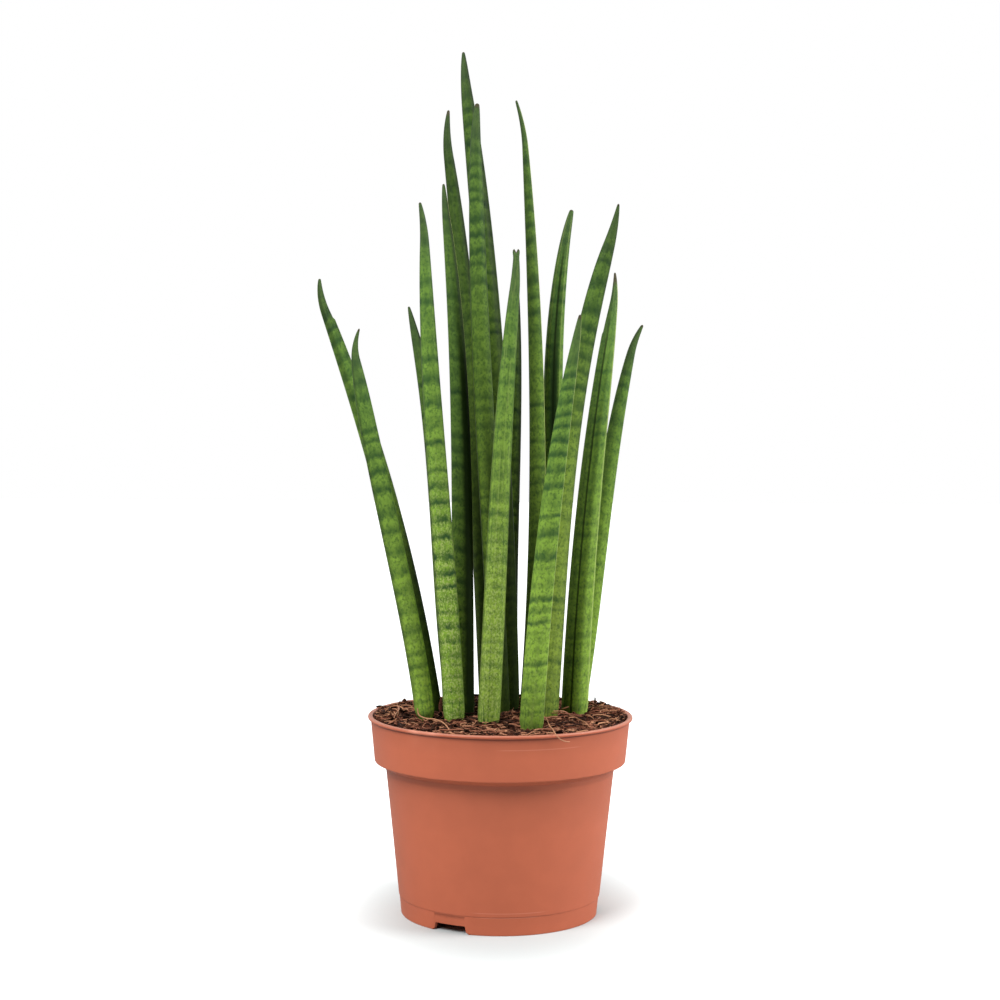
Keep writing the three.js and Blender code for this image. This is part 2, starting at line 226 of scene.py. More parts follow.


# What a leaf looks like where nothing else is said:
# bands          heights of its clearest dark bands, in millimetres
# contrast       how dark its bands are
# arch           how far its bands rise in the middle of its back, in millimetres
# slant          how far its bands rise to one side, in millimetres
# line           angle from the middle of the channel to the pale line on each side, in degrees
# line_strength  how clear those lines are
# grey           how far the blue grey of its upper half reaches down, as a share of its length
# pale           how much of its light zones is mottled with pale green
# streaks        how strongly it is streaked lengthwise
# groove         how dark its channel is, partly in its own colour and partly with painted shade
# brown          how brown its light zones have turned
# shade          how much darker the whole leaf is: painted shade, most on the leaves behind others
# dark_sides  its sides darkened by painted shade: the direction, amount, reach and edges of
#                     each, as dark_side says
# rims  how dark its two flanks are with painted shade, between the channel and the back
# tones          how light it is along its length, partly painted light and painted shade: pairs of
#                a share of the length and a factor
# slim           how much slimmer it is at its point, and over what height, in millimetres
# dry            length of its dry point, in millimetres
# notch          depth of the notch across its point, in millimetres
# rounding       how much its foot narrows at the soil, and over what height, in millimetres
# step           height of a small shoulder near its point, its side from the channel in degrees and
#                its size, in millimetres
LEAF_LOOKS = {
    "bands": (),
    "contrast": 1.0,
    "arch": 1.8,
    "slant": 0.0,
    "line": 40,
    "line_strength": 0.8,
    "grey": 0.5,
    "pale": 0.15,
    "streaks": 0.12,
    "groove": 0.3,
    "brown": 0.0,
    "shade": 0.0,
    "dark_sides": (),
    "rims": 0.45,
    "tones": ((0, 1), (1, 1)),
    "slim": (0.0, 20),
    "dry": 2.0,
    "notch": 0.0,
    "rounding": (0.09, 4.5),
    "step": None,
}

LEAVES = [
    leaf_shape(
        [-45.5, 22], [-126, 40, 409.5], [11.7, 13.1], 5, 15.6, 65, 150,
        bands=(328, 341, 353, 364, 373, 381), dark_sides=[dark_side(-40, 0.85, 0.45)],
        tones=((0, 1), (0.8, 1), (0.93, 0.82), (1, 1)), step=(382.5, -145, 0.8), dry=0.7,
    ),
    leaf_shape(
        [-47.5, -13], [-93.1, -50, 372.5], [5.4, -3.8], 5.2, 12.8, 33, 110,
        bands=(158, 180, 193, 205, 218, 230, 244, 254, 269, 281, 291, 301, 307, 326, 336, 346),
        tones=((0, 1.6), (0.14, 1), (1, 1)), rounding=(0.3, 6), slim=(0.4, 24),
        shade=0.05, contrast=0.75,
    ),
    leaf_shape(
        [-29, 30], [-62.5, 38, 391.5], [-2, 14], 0.5, 14.5, 50, 80,
        dark_sides=[dark_side(-40, 0.8, 0.5), dark_side(0, 0.9, 1.2, 20, 75)],
        slim=(0.15, 20), shade=0.4, dry=0.5,
    ),
    leaf_shape(
        [-29.5, -9], [-49.5, -30, 452], [1.5, -5.3], -2.5, 14.3, 66, 90,
        bands=(173, 182, 192, 208, 216, 226, 239, 250, 261, 271, 299, 337, 351, 386),
        tones=((0, 1.2), (0.1, 1.03), (0.85, 1), (0.95, 0.88)), pale=0.9, dry=1,
    ),
    leaf_shape(
        [-24, 12], [-39.9, 22, 470], [3.7, 11], 1, 15.6, 79, 22,
        dark_sides=[dark_side(-36, 0.97, 0.75, 30, 62), dark_side(-30, 0.7, 1.2, 15, 50)],
        shade=0.35, rims=0, line_strength=0.7, grey=0.2, dry=1,
    ),
    leaf_shape(
        [-7, 54], [-42, 80, 527], [5, 9.5], 4.5, 14.5, 65, 100,
        bands=(469, 486, 497, 511),
        dark_sides=[dark_side(-60, 0.8, 0.45), dark_side(-5, 0.8, 0.9, 20, 62)],
        shade=0.6, contrast=0.6, dry=4,
    ),
    leaf_shape(
        [4.5, 38], [-28.5, 48, 560], [7, 10], 1.5, 17, 61, 90,
        bands=(399, 410, 428, 435, 454, 478, 493, 517),
        dark_sides=[dark_side(-20, 0.85, 0.5), dark_side(10, 0.7)], shade=0.45, dry=1,
    ),
    leaf_shape(
        [0, 19], [-18, 4, 519], [0, -6.5], 1, 13, 49, 90, 1.2,
        bands=(402, 414, 421, 432, 441, 455, 461, 469, 477, 485),
        dark_sides=[dark_side(-30, 0.85, 0.5)], shade=0.3, contrast=0.8, arch=1.2, dry=3,
    ),
    leaf_shape(
        [6, 62], [7.5, 80, 431.5], [-5, 4.5], 2.5, 14, 65, 80,
        dark_sides=[dark_side(-5, 0.9, 1.2, 20, 70)], shade=0.5,
    ),
    leaf_shape(
        [-7.5, -22], [9.5, -52, 419.3], [-0.5, -5], -1.5, 15, 70, 90, 1.8,
        bands=(226, 239, 255), slim=(0.15, 16), notch=2.2,
        contrast=0.6, streaks=0.5, pale=0.6, brown=0.12, dry=0.5,
    ),
    leaf_shape(
        [19.5, 46], [12.2, 66, 531.5], [12, 8.7], -4, 14, 125, 10,
        bands=(324, 384, 405, 422, 433, 443, 454, 463, 473, 485),
        dark_sides=[dark_side(180, 0.35), dark_side(-90, 0.7, 0.35)],
        shade=0.33, contrast=0.8, arch=0, slant=1.5, rims=0, dry=0.7,
    ),
    leaf_shape(
        [19.5, -44], [47, -74, 380.5], [-4.5, -6], -0.5, 16.5, 67, 15,
        bands=(165, 191, 205, 230, 244, 257, 274, 284, 294, 302, 311, 318, 325, 334, 341, 349),
        tones=((0, 0.72), (0.13, 1), (1, 1)),
        shade=0.03, contrast=0.85, arch=-1, slant=1.6, rims=0, dry=3,
    ),
    leaf_shape(
        [30, 0], [74.8, -20, 453], [-8.5, -22.7], -2.5, 14.7, 37, 85,
        bands=(159, 199, 311, 322, 334, 344, 353, 363, 371, 381, 398, 414, 421),
        tones=((0, 1.1), (0.2, 1), (0.5, 1), (0.75, 0.85), (0.9, 0.75)),
        slim=(0.3, 24), shade=0.15, brown=0.18, contrast=0.75, dry=1.5,
    ),
    leaf_shape(
        [48.6, 18], [75.5, 24, 413.5], [-5.5, -6.1], -2.5, 18.6, 73, -113,
        dark_sides=[dark_side(190, 0.55, 1.2, 30, 64)], slim=(0.25, 30), step=(374, -60, 0.5),
        tones=((0, 1.25), (0.12, 1), (0.65, 1), (0.85, 1.2)),
        line=88, groove=0.1, contrast=0.7, rims=0, streaks=0.3, dry=8,
    ),
    leaf_shape(
        [50.5, 44], [91.3, 62, 381.5], [0.5, -9.4], 3, 14, 56, 60,
        bands=(311, 326, 336, 345, 355), dark_sides=[dark_side(185, 0.6)], step=(364, -120, 0.4),
        shade=0.1, contrast=0.65, rims=0, dry=1.5,
    ),
    leaf_shape(
        [30, 60], [46.3, 82, 460.5], [8, -17.6], 0.5, 15.3, 54, -90, 1.2,
        dark_sides=[dark_side(-88, 0.95, 0.78, 12, 46)],
        groove=0.25, shade=0.05, rims=0, line_strength=0.2, dry=1,
    ),
]
# Where the leaves leave the soil, measured from the pot's axis, and half the girth of each
FEET = np.array([leaf["foot"][:2] - POT_AXIS[:2] for leaf in LEAVES])
FOOT_RADII = np.array([leaf["girth"] / 2 for leaf in LEAVES])


def linear(red, green, blue):
    """The linear colour of a display colour whose channels run from 0 to 255."""
    channels = np.array([red, green, blue]) / 255
    bright = ((channels + 0.055) / 1.055) ** 2.4
    return tuple(np.where(channels > 0.04045, bright, channels / 12.92))


def scaled(colour, factor):
    """A colour with each channel times the factor."""
    return tuple(factor * np.array(colour))


# Settings


def length(name, description, default):
    """A length in metres, which the panel shows in the scene's unit."""
    return FloatProperty(name=name, description=description, default=default, unit="LENGTH", min=0)


def share(name, description, default):
    """A number from 0 to 1, with a slider."""
    return FloatProperty(
        name=name, description=description, default=default, subtype="FACTOR", min=0, max=1
    )


def whole_number(name, description, default, least=0):
    """A whole number that is never below the least."""
    return IntProperty(name=name, description=description, default=default, min=least)


def colour(name, description, display):
    """A colour, given by its display channels from 0 to 255."""
    return FloatVectorProperty(
        name=name, description=description, default=linear(*display), subtype="COLOR", min=0, max=1
    )


class PotSettings(PropertyGroup):
    plastic: colour("Plastic", "Colour of the moulded plastic", (198, 105, 73))
    # The edge colour is painted shade, darkening the lip's top where the light from above falls
    edge: colour("Shaded lip top", "Colour of the painted shade on the lip's upper edge", (176, 109, 86))
    scuff: colour("Scuff", "Colour of the plastic where it is rubbed", (226, 150, 124))
    roughness: share("Roughness", "How matte the plastic is", 0.5)
    columns: whole_number("Columns", "Steps round the pot", 240, 60)


class SoilSettings(PropertyGroup):
    peat: colour("Peat", "Colour of the dark crumbs", (58, 32, 25))
    dry_peat: colour("Dry peat", "Colour of the crumbs that have dried", (116, 71, 53))
    coir: colour("Coir", "Colour of most fibres", (138, 84, 63))
    pale_coir: colour("Pale coir", "Colour of the palest fibres", (196, 142, 108))
    bark: colour("Bark", "Colour of the bark chips", (58, 38, 32))
    grid: whole_number("Grid", "Steps across the soil", 230, 40)
    crumbs: whole_number("Crumbs", "Number of loose crumbs", 1700)
    fibres: whole_number("Fibres", "Number of loose fibres", 2600)
    chips: whole_number("Chips", "Number of bark chips", 110)
    fibre_thickness: length("Fibre thickness", "Thickness of a loose fibre", 0.42 * MM)
    seed: whole_number("Seed", "Start of the random draws", 4)


class LeafSettings(PropertyGroup):
    light: colour("Light zone", "Colour between the bands", (143, 179, 66))
    dark: colour("Dark band", "Colour of the cross bands", (42, 74, 42))
    grey: colour("Grey green", "Colour of the upper half", (105, 140, 60))
    pale: colour("Pale mottling", "Colour of the pale mottled zones", (172, 190, 108))
    line: colour("Pale line", "Colour of the line along the channel", (176, 186, 112))
    point: colour("Point", "Colour of the dry point", (72, 68, 50))
    top: colour("Top", "Colour of the plain stretch below the point", (69, 88, 55))
    brown: colour("Brown", "Colour of the light zones of a leaf that has turned brown", (150, 118, 72))
    # The deep green is painted shade, laid on the dark sides, the flanks and the crease
    deep: colour("Deep green", "Colour of the painted shade on the dark sides, the flanks and the crease", (22, 36, 10))
    sides: whole_number("Sides", "Steps round a leaf", 56, 12)
    rows: whole_number("Rows", "Steps along a leaf", 210, 20)
    low_spacing: length("Low spacing", "Distance between bands at the foot", 7.8 * MM)
    high_spacing: length("High spacing", "Distance between bands at the point", 13 * MM)


class StageSettings(PropertyGroup):
    distance: length("Distance", "From the camera to the pot's axis", 1.2)
    height: length("Height", "Height of the camera", 0.317)
    lens: FloatProperty(name="Lens", description="Focal length", default=67.32, min=20)
    look_down: FloatProperty(
        name="Look down", description="Downward tilt", default=math.radians(2.447), subtype="ANGLE"
    )
    roll: FloatProperty(name="Roll", description="Roll of the camera", default=0.006, subtype="ANGLE")
    back_fill: share("Back fill", "Strength of the surround behind the plant", 1.0)
    front_fill: share("Front fill", "Strength of the surround on the camera's side", 0.05)
    floor_glow: share("Floor glow", "How much brighter than lit the camera sees the floor", 0.0)
    floor_bounce: share("Floor bounce", "How much light the floor sends back to the plant", 0.36)
    soft_light: FloatProperty(name="Soft light", description="Factor on the soft lights", default=1.0)


# Meshes


def unit(vectors):
    """Each vector divided by its own length."""
    return vectors / np.linalg.norm(vectors, axis=-1, keepdims=True)


def around(turn):
    """The direction across at each angle round the axis: its cosine and its sine."""
    return np.stack([np.cos(turn), np.sin(turn)], -1)


def bell(distance, width, power=2):
    """1 in the middle, falling off by exp(-(distance / width) ^ power)."""
    return np.exp(-((distance / width) ** power))


def smooth_step(values, start, end):
    """0 at the start, 1 at the end, and 3t squared less 2t cubed between them."""
    t = np.clip((values - start) / (end - start), 0, 1)
    return t * t * (3 - 2 * t)


def grid_quads(rows, columns, closed):
    """The corners of each quad of a grid: a point, the next along its row, the one above that and
    the one above the point. A closed grid also joins its last column to its first."""
    here = np.arange(rows * columns).reshape(rows, columns)
    beside, above = np.roll(here, -1, 1), np.roll(here, -1, 0)
    quads = np.stack([here, beside, np.roll(beside, -1, 0), above], -1)
    quads = quads[:-1] if closed else quads[:-1, :-1]
    return quads.reshape(-1, 4)


def fan(ring, middle):
    """Triangles from each step of a ring of points to the one point in its middle."""
    return np.stack([ring, np.roll(ring, -1), np.full(len(ring), middle)], -1)


def capped_grid(rows, columns):
    """The quads of a closed grid, and the fans that close its first row and its last row on two
    points that follow the grid's own."""
    ring = np.arange(columns)
    first, last = rows * columns, rows * columns + 1
    fans = [fan(ring, first)[:, ::-1], fan(ring + (rows - 1) * columns, last)]
    return grid_quads(rows, columns, True), np.concatenate(fans)


def repeated(points, quads, triangles):
    """All points of several pieces that have the same faces, and those faces for each of them."""
    count, each = points.shape[:2]
    shift = (np.arange(count) * each)[:, None, None]
    return points.reshape(-1, 3), (quads + shift).reshape(-1, 4), (triangles + shift).reshape(-1, 3)


def weld(points, faces, distance=1e-6):
    """Joins points that are alike: those whose places round to the same step of the distance."""
    steps = np.round(points / distance).astype(np.int64)
    _, first, number = np.unique(steps, axis=0, return_index=True, return_inverse=True)
    return points[first], [number.ravel()[each] for each in faces]


def add_object(name, data):
    """A new object of the scene with its data."""
    made = bpy.data.objects.new(name, data)
    bpy.context.scene.collection.objects.link(made)
    return made


def make_piece(name, points, faces, material, stands_for=(), values=None, smooth=True):
    """A piece of the plant in the frame, from points, a list of face arrays and named values for
    each point. It rides on the one body and takes its finish from the slot."""
    corners = np.concatenate([each.ravel() for each in faces])
    sizes = np.concatenate([np.full(len(each), each.shape[1]) for each in faces])
    mesh = bpy.data.meshes.new(name)
    mesh.vertices.add(len(points))
    mesh.vertices.foreach_set("co", points.astype(np.float32).ravel())
    mesh.loops.add(len(corners))
    mesh.loops.foreach_set("vertex_index", corners.astype(np.int32))
    mesh.polygons.add(len(sizes))
    mesh.polygons.foreach_set("loop_start", (np.cumsum(sizes) - sizes).astype(np.int32))
    mesh.update(calc_edges=True)
    if mesh.validate():
        raise RuntimeError(f"{name} has faces that had to be mended")
    mesh.polygons.foreach_set("use_smooth", np.full(len(sizes), smooth))
    for label, numbers in (values or {}).items():
        is_vector = numbers.ndim == 2
        layer = mesh.attributes.new(label, "FLOAT_VECTOR" if is_vector else "FLOAT", "POINT")
        layer.data.foreach_set("vector" if is_vector else "value", numbers.astype(np.float32).ravel())
    mesh.materials.append(material)
    piece = add_object(name, mesh)
    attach(piece, "root")
    if stands_for:
        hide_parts(*stands_for)
    return piece


def lattice_noise(places, cell, seed):
    """Smooth random numbers from -1 to 1 over a plane: random values on the corners of square cells,
    blended inside a cell by 3t squared less 2t cubed along each side."""
    table = np.random.default_rng(seed).uniform(-1, 1, (NOISE_CELLS, NOISE_CELLS))
    corner = np.floor(places / cell).astype(int)
    t = smooth_step(places / cell - corner, 0, 1)
    i, j = corner[..., 0] % NOISE_CELLS, corner[..., 1] % NOISE_CELLS
    next_i, next_j = (i + 1) % NOISE_CELLS, (j + 1) % NOISE_CELLS
    near = table[i, j] * (1 - t[..., 0]) + table[next_i, j] * t[..., 0]
    far = table[i, next_j] * (1 - t[..., 0]) + table[next_i, next_j] * t[..., 0]
    return near * (1 - t[..., 1]) + far * t[..., 1]


def dome_relief(places, cell, seed):
    """The height of crumbs that lie close together: each square cell holds one dome at a random
    place with a random radius R, and a point is as high as the highest root of R squared less its
    squared distance among the nine domes round it."""
    draw = np.random.default_rng(seed)
    offsets = draw.uniform(0, 1, (NOISE_CELLS, NOISE_CELLS, 2))
    radii = draw.uniform(0.35, 0.8, (NOISE_CELLS, NOISE_CELLS))
    corner = np.floor(places / cell).astype(int)
    highest = np.zeros(places.shape[:-1])
    for step in np.ndindex(3, 3):
        other = corner + np.array(step) - 1
        i, j = other[..., 0] % NOISE_CELLS, other[..., 1] % NOISE_CELLS
        distance = np.linalg.norm(other + offsets[i, j] - places / cell, axis=-1)
        highest = np.maximum(highest, np.sqrt(np.maximum(0, radii[i, j] ** 2 - distance**2)))
    return highest * cell


# Materials


def add_node(tree, kind, inputs=None, **settings):
    """Adds a node and sets its settings. An input given as a socket is linked, and any other is set."""
    made = tree.nodes.new(kind)
    for key, value in settings.items():
        setattr(made, key, value)
    for key, value in (inputs or {}).items():
        if isinstance(value, bpy.types.NodeSocket):
            tree.links.new(value, made.inputs[key])
        else:
            made.inputs[key].default_value = value
    return made


def add_math(tree, operation, *values):
    """The result of one arithmetic step on sockets or numbers."""
    return add_node(tree, "ShaderNodeMath", dict(enumerate(values)), operation=operation).outputs[0]


def add_product(tree, first, *others):
    """The product of two or more sockets or numbers."""
    for other in others:
        first = add_math(tree, "MULTIPLY", first, other)
    return first


def add_range(tree, value, low, high, at_low=0.0, at_high=1.0):
    """A value carried from low..high to at_low..at_high along a smooth step."""
    inputs = {"Value": value, "From Min": low, "From Max": high, "To Min": at_low, "To Max": at_high}
    return add_node(tree, "ShaderNodeMapRange", inputs, interpolation_type="SMOOTHSTEP").outputs[0]


def add_mix(tree, amount, first, second):
    """The first colour blended with the second by the amount."""
    rgba = {0: amount, 6: opaque(first), 7: opaque(second)}
    return add_node(tree, "ShaderNodeMix", rgba, data_type="RGBA").outputs[2]


def opaque(value):
    """A colour of three numbers with full opacity added. A socket stays as it is."""
    return value if isinstance(value, bpy.types.NodeSocket) else (*value, 1.0)


def add_noise(tree, place, stretch, detail=2.0):
    """Smooth noise about 0.5 in a space stretched by three numbers, in cells per metre."""
    inputs = {0: place, 1: stretch}
    stretched = add_node(tree, "ShaderNodeVectorMath", inputs, operation="MULTIPLY").outputs[0]
    inputs = {"Vector": stretched, "Scale": 1.0, "Detail": detail}
    return add_node(tree, "ShaderNodeTexNoise", inputs).outputs[0]


def add_spots(tree, place, stretch, low, high, at_low=0.0, at_high=1.0, detail=2.0):
    """Spots of stretched noise: it is carried from low..high to at_low..at_high."""
    return add_range(tree, add_noise(tree, place, stretch, detail), low, high, at_low, at_high)


def add_attribute(tree, name, output="Fac"):
    """What a mesh's named values say at the point."""
    return add_node(tree, "ShaderNodeAttribute", attribute_name=name).outputs[output]


def new_group(name, colours, numbers, outputs):
    """A shader node group with the named colours and numbers as inputs and outputs of given types."""
    tree = bpy.data.node_groups.new(name, "ShaderNodeTree")
    for label in colours:
        tree.interface.new_socket(label, in_out="INPUT", socket_type="NodeSocketColor")
    for label in numbers:
        tree.interface.new_socket(label, in_out="INPUT", socket_type="NodeSocketFloat")
    for label, kind in outputs.items():
        tree.interface.new_socket(label, in_out="OUTPUT", socket_type=kind)
    return tree, tree.nodes.new("NodeGroupInput").outputs, tree.nodes.new("NodeGroupOutput").inputs


def add_group(tree, group, **values):
    """Places a group in a material with its own colours and numbers."""
    made = tree.nodes.new("ShaderNodeGroup")
    made.node_tree = group
    for key, value in values.items():
        label = key.replace("_", " ").capitalize()
        made.inputs[label].default_value = opaque(value) if np.ndim(value) else value
    return made.outputs


def new_material(name, roughness, specular=0.5):
    """A material whose one shader has a plain roughness, with its tree and its shader."""
    material = bpy.data.materials.new(name)
    material.use_nodes = True
    shader = material.node_tree.nodes["Principled BSDF"]
    shader.inputs["Roughness"].default_value = roughness
    shader.inputs["Specular IOR Level"].default_value = specular
    return material, material.node_tree, shader


def set_bump(tree, shader, height, depth, strength=1.0):
    """Feeds the shader's normal from a height of 0 to 1 that stands for a depth in metres."""
    inputs = {"Height": height, "Distance": depth, "Strength": strength}
    tree.links.new(add_node(tree, "ShaderNodeBump", inputs).outputs[0], shader.inputs["Normal"])


def grain_group():
    """Fine grain, the same in all directions: the mean of two noises, one four times finer than the
    other. Another, 20 times coarser, makes the blotches."""
    name = "Fine grain"
    if name in bpy.data.node_groups:
        return bpy.data.node_groups[name]
    outputs = {"Height": "NodeSocketFloat", "Blotch": "NodeSocketFloat"}
    tree, given, result = new_group(name, [], ["Cells"], outputs)
    place = add_node(tree, "ShaderNodeTexCoord").outputs["Object"]
    noises = []
    for finer, detail in ((1.0, 3.0), (4.0, 2.0), (0.05, 4.0)):
        inputs = {"Vector": place, "Scale": add_product(tree, given["Cells"], finer), "Detail": detail}
        noises.append(add_node(tree, "ShaderNodeTexNoise", inputs).outputs[0])
    coarse, fine, blotch = noises
    tree.links.new(add_product(tree, add_math(tree, "ADD", coarse, fine), 0.5), result["Height"])
    tree.links.new(blotch, result["Blotch"])
    return tree


def plastic_material(settings):
    """Matte moulded plastic: faint blotches, a fine grain, faint lines of the mould, painted shade on
    the lip's top where the values called edge say so, scuffed by those called worn, and darkened with
    painted shade under the lip and the band by a third set of values."""
    material, tree, shader = new_material("Terracotta plastic", settings.roughness, 0.45)
    grain = add_group(tree, grain_group(), cells=1400.0)
    patchy = add_range(tree, grain["Blotch"], 0.35, 0.7)
    patchy = add_math(tree, "MULTIPLY_ADD", patchy, 0.6, 0.4)
    scuffed = add_product(tree, add_attribute(tree, "worn"), patchy)
    blotch = add_range(tree, grain["Blotch"], 0.25, 0.75)
    body = add_mix(tree, blotch, scaled(settings.plastic, 0.95), settings.plastic)
    place = add_node(tree, "ShaderNodeTexCoord").outputs["Object"]
    across, back, height = add_node(tree, "ShaderNodeSeparateXYZ", {0: place}).outputs
    in_front = add_range(tree, back, 0.0, -20 * MM)
    for level, start, end in MOULD_LINES:
        start, end = start + POT_AXIS[0], end + POT_AXIS[0]
        off_line = add_math(tree, "ABSOLUTE", add_math(tree, "SUBTRACT", height, level))
        line = add_product(
            tree,
            add_range(tree, off_line, 0.1 * MM, 0.45 * MM, 0.3, 0.0),
            add_range(tree, across, start, start + MOULD_LINE_FADE),
            add_range(tree, across, end, end - MOULD_LINE_FADE),
            in_front,
        )
        body = add_mix(tree, line, body, settings.scuff)
    # Painted shade on the top of the lip
    body = add_mix(tree, add_attribute(tree, "edge"), body, settings.edge)
    body = add_mix(tree, scuffed, body, settings.scuff)
    # Painted shade: the plastic darkened nearly to black under the lip and the band
    body = add_mix(tree, add_attribute(tree, "painted_undercut_shade"), body, scaled(settings.plastic, 0.1))
    tree.links.new(body, shader.inputs["Base Color"])
    set_bump(tree, shader, grain["Height"], 0.06 * MM, 0.5)
    return material


def peat_material(settings):
    """Crumbly peat: dark with painted shade in the hollows, drier and paler on top of the crumbs, by
    the values called raised, with speckles of other crumbs."""
    material, tree, shader = new_material("Peat", 0.95, 0.02)
    grain = add_group(tree, grain_group(), cells=1600.0)
    raised = add_attribute(tree, "raised")
    dry = add_product(tree, raised, add_range(tree, grain["Height"], 0.42, 0.62))
    # Painted shade: the peat turns nearly black where the values called raised are low
    lit = add_range(tree, raised, 0.3, 0.85)
    peat = add_mix(tree, lit, scaled(settings.peat, 0.1), settings.peat)
    tree.links.new(add_mix(tree, dry, peat, settings.dry_peat), shader.inputs["Base Color"])
    set_bump(tree, shader, grain["Height"], 0.5 * MM)
    return material


def fibre_material(name, dark, middle, light, roughness=0.7):
    """Plant fibre: each strand has its own place among a dark, a middle and a light colour, by the
    values called tone, and is mottled along its length."""
    material, tree, shader = new_material(name, roughness, 0.15)
    grain = add_group(tree, grain_group(), cells=1100.0)
    speckled = add_range(tree, grain["Height"], 0.3, 0.7)
    mottle = add_math(tree, "MULTIPLY_ADD", speckled, 0.3, -0.15)
    amount = add_math(tree, "ADD", add_attribute(tree, "tone"), mottle)
    clipped = add_node(tree, "ShaderNodeClamp", {"Value": amount}).outputs[0]
    lower = add_mix(tree, add_range(tree, clipped, 0.0, 0.55), dark, middle)
    both = add_mix(tree, add_range(tree, clipped, 0.55, 1.0), lower, light)
    tree.links.new(both, shader.inputs["Base Color"])
    set_bump(tree, shader, grain["Height"], 0.12 * MM)
    return material


def skin_group():
    """The banded skin of a leaf, worked out in the space of the leaf laid straight.

    The values called phase count the dark bands, and their fraction says how far a point is above the
    lower edge of one. Noise stretched along the leaf is added to the phase first, which gives the
    edges lobes and teeth. The zones between the bands are mottled, and greyer up the leaf. Over them
    come the plain stretch below the point, specks, streaks, painted shade on the dark sides and flanks,
    the channel darker partly in its own colour and partly with painted shade, its crease of painted
    shade, its pale lines, and the dry point."""
    name = "Banded skin"
    if name in bpy.data.node_groups:
        return bpy.data.node_groups[name]
    colours = ["Light", "Dark", "Grey", "Pale", "Line", "Point", "Top", "Deep"]
    numbers = ["Contrast", "Grey height", "Paleness", "Streaks", "Groove", "Line strength", "Dry length"]
    outputs = {"Color": "NodeSocketColor", "Height": "NodeSocketFloat"}
    tree, given, result = new_group(name, colours, numbers, outputs)
    place = add_attribute(tree, "straight", "Vector")
    share_up = add_attribute(tree, "share")
    below_point = add_attribute(tree, "below_point")

    # The phase, moved by three noises: lobes, teeth and flecks
    moved = add_attribute(tree, "phase")
    for stretch, reach in (((220, 220, 70), 0.5), ((520, 520, 420), 0.16), ((1300, 1300, 1100), 0.1)):
        noise = add_noise(tree, place, stretch)
        moved = add_math(tree, "ADD", moved, add_math(tree, "MULTIPLY_ADD", noise, reach, -reach / 2))
    above_edge = add_math(tree, "FRACT", moved)

    # A band starts at a sharp lower edge and fades out upwards, weaker near the soil
    at_foot = add_range(tree, share_up, 0.0, 0.3, 0.7, 1.0)
    strength = add_product(tree, add_attribute(tree, "strength"), given["Contrast"], at_foot)
    onset = add_range(tree, above_edge, 0.0, 0.22)
    band = add_product(tree, onset, add_range(tree, above_edge, 0.22, 0.7, 1.0, 0.0))
    patches = add_spots(tree, place, (130, 130, 40), 0.32, 0.6, 0.35, 1.0)
    band = add_product(tree, band, add_product(tree, patches, strength))

    # The zone between two bands: brightest at its top, greyer up the leaf, and mottled
    upward = add_math(tree, "SUBTRACT", share_up, given["Grey height"])
    skin = add_mix(tree, add_range(tree, upward, -0.35, 0.45), given["Light"], given["Grey"])
    half_dark = add_mix(tree, 0.5, skin, given["Dark"])
    dimness = add_product(tree, add_range(tree, above_edge, 0.3, 0.95, 0.75, 0.0), strength)
    mottle = add_spots(tree, place, (600, 600, 500), 0.42, 0.7, 0.0, 0.6, 3.0)
    blotch = add_spots(tree, place, (240, 240, 170), 0.45, 0.7, 0.0, 0.7)
    low_down = add_range(tree, share_up, 0.2, 0.62, 1.0, 0.0)
    pale_spots = add_spots(tree, place, (850, 850, 700), 0.48, 0.62, detail=3.0)
    paleness = add_product(tree, pale_spots, low_down, given["Paleness"])
    plain_top = add_range(tree, below_point, 5 * MM, 50 * MM, 0.72, 0.0)
    specks = add_spots(tree, place, (1500, 1500, 1100), 0.66, 0.74, 0.0, 0.5, 1.0)
    for amount, tone in (
        (dimness, half_dark),
        (mottle, given["Dark"]),
        (blotch, half_dark),
        (paleness, given["Pale"]),
        (band, given["Dark"]),
        (plain_top, given["Top"]),
        (specks, given["Dark"]),
    ):
        skin = add_mix(tree, amount, skin, tone)

    # Lengthwise streaks, dark and pale
    fibres = add_noise(tree, place, (900, 900, 14))
    streakiness = add_math(tree, "ADD", given["Streaks"], add_range(tree, share_up, 0.0, 0.1, 0.7, 0.0))
    for low, high, most, tone in ((0.54, 0.7, 0.6, "Dark"), (0.46, 0.3, 0.35, "Pale")):
        streaks = add_product(tree, add_range(tree, fibres, low, high, 0.0, most), streakiness)
        skin = add_mix(tree, streaks, skin, given[tone])

    # The painted shade of the dark sides and flanks, the channel darker partly in its own colour and
    # partly with painted shade, its crease of painted shade, the line along each side of it, and the
    # dry point
    beyond = add_attribute(tree, "from_line")
    # The channel darker, partly in its own colour and partly with painted shade
    groove = add_product(tree, add_range(tree, beyond, 0.4 * MM, -1.5 * MM), given["Groove"])
    # Painted shade: a thin dark line down the middle of the channel, fading out near the point
    crease = add_product(
        tree,
        add_range(tree, add_attribute(tree, "from_middle"), 0.3 * MM, 1.0 * MM, 0.8, 0.0),
        add_range(tree, below_point, 10 * MM, 50 * MM),
    )
    line = add_product(
        tree,
        add_range(tree, add_math(tree, "ABSOLUTE", beyond), 0.15 * MM, 0.5 * MM, 1.0, 0.0),
        given["Line strength"],
        add_range(tree, share_up, 0.96, 1.0, 1.0, 0.0),
    )
    in_dry = add_math(tree, "DIVIDE", below_point, given["Dry length"])
    for amount, tone in (
        # Painted shade on the dark sides and the flanks
        (add_attribute(tree, "painted_shade"), "Deep"),
        (groove, "Dark"),
        (crease, "Deep"),
        (line, "Line"),
        (add_range(tree, in_dry, 0.5, 1.3, 1.0, 0.0), "Point"),
    ):
        skin = add_mix(tree, amount, skin, given[tone])
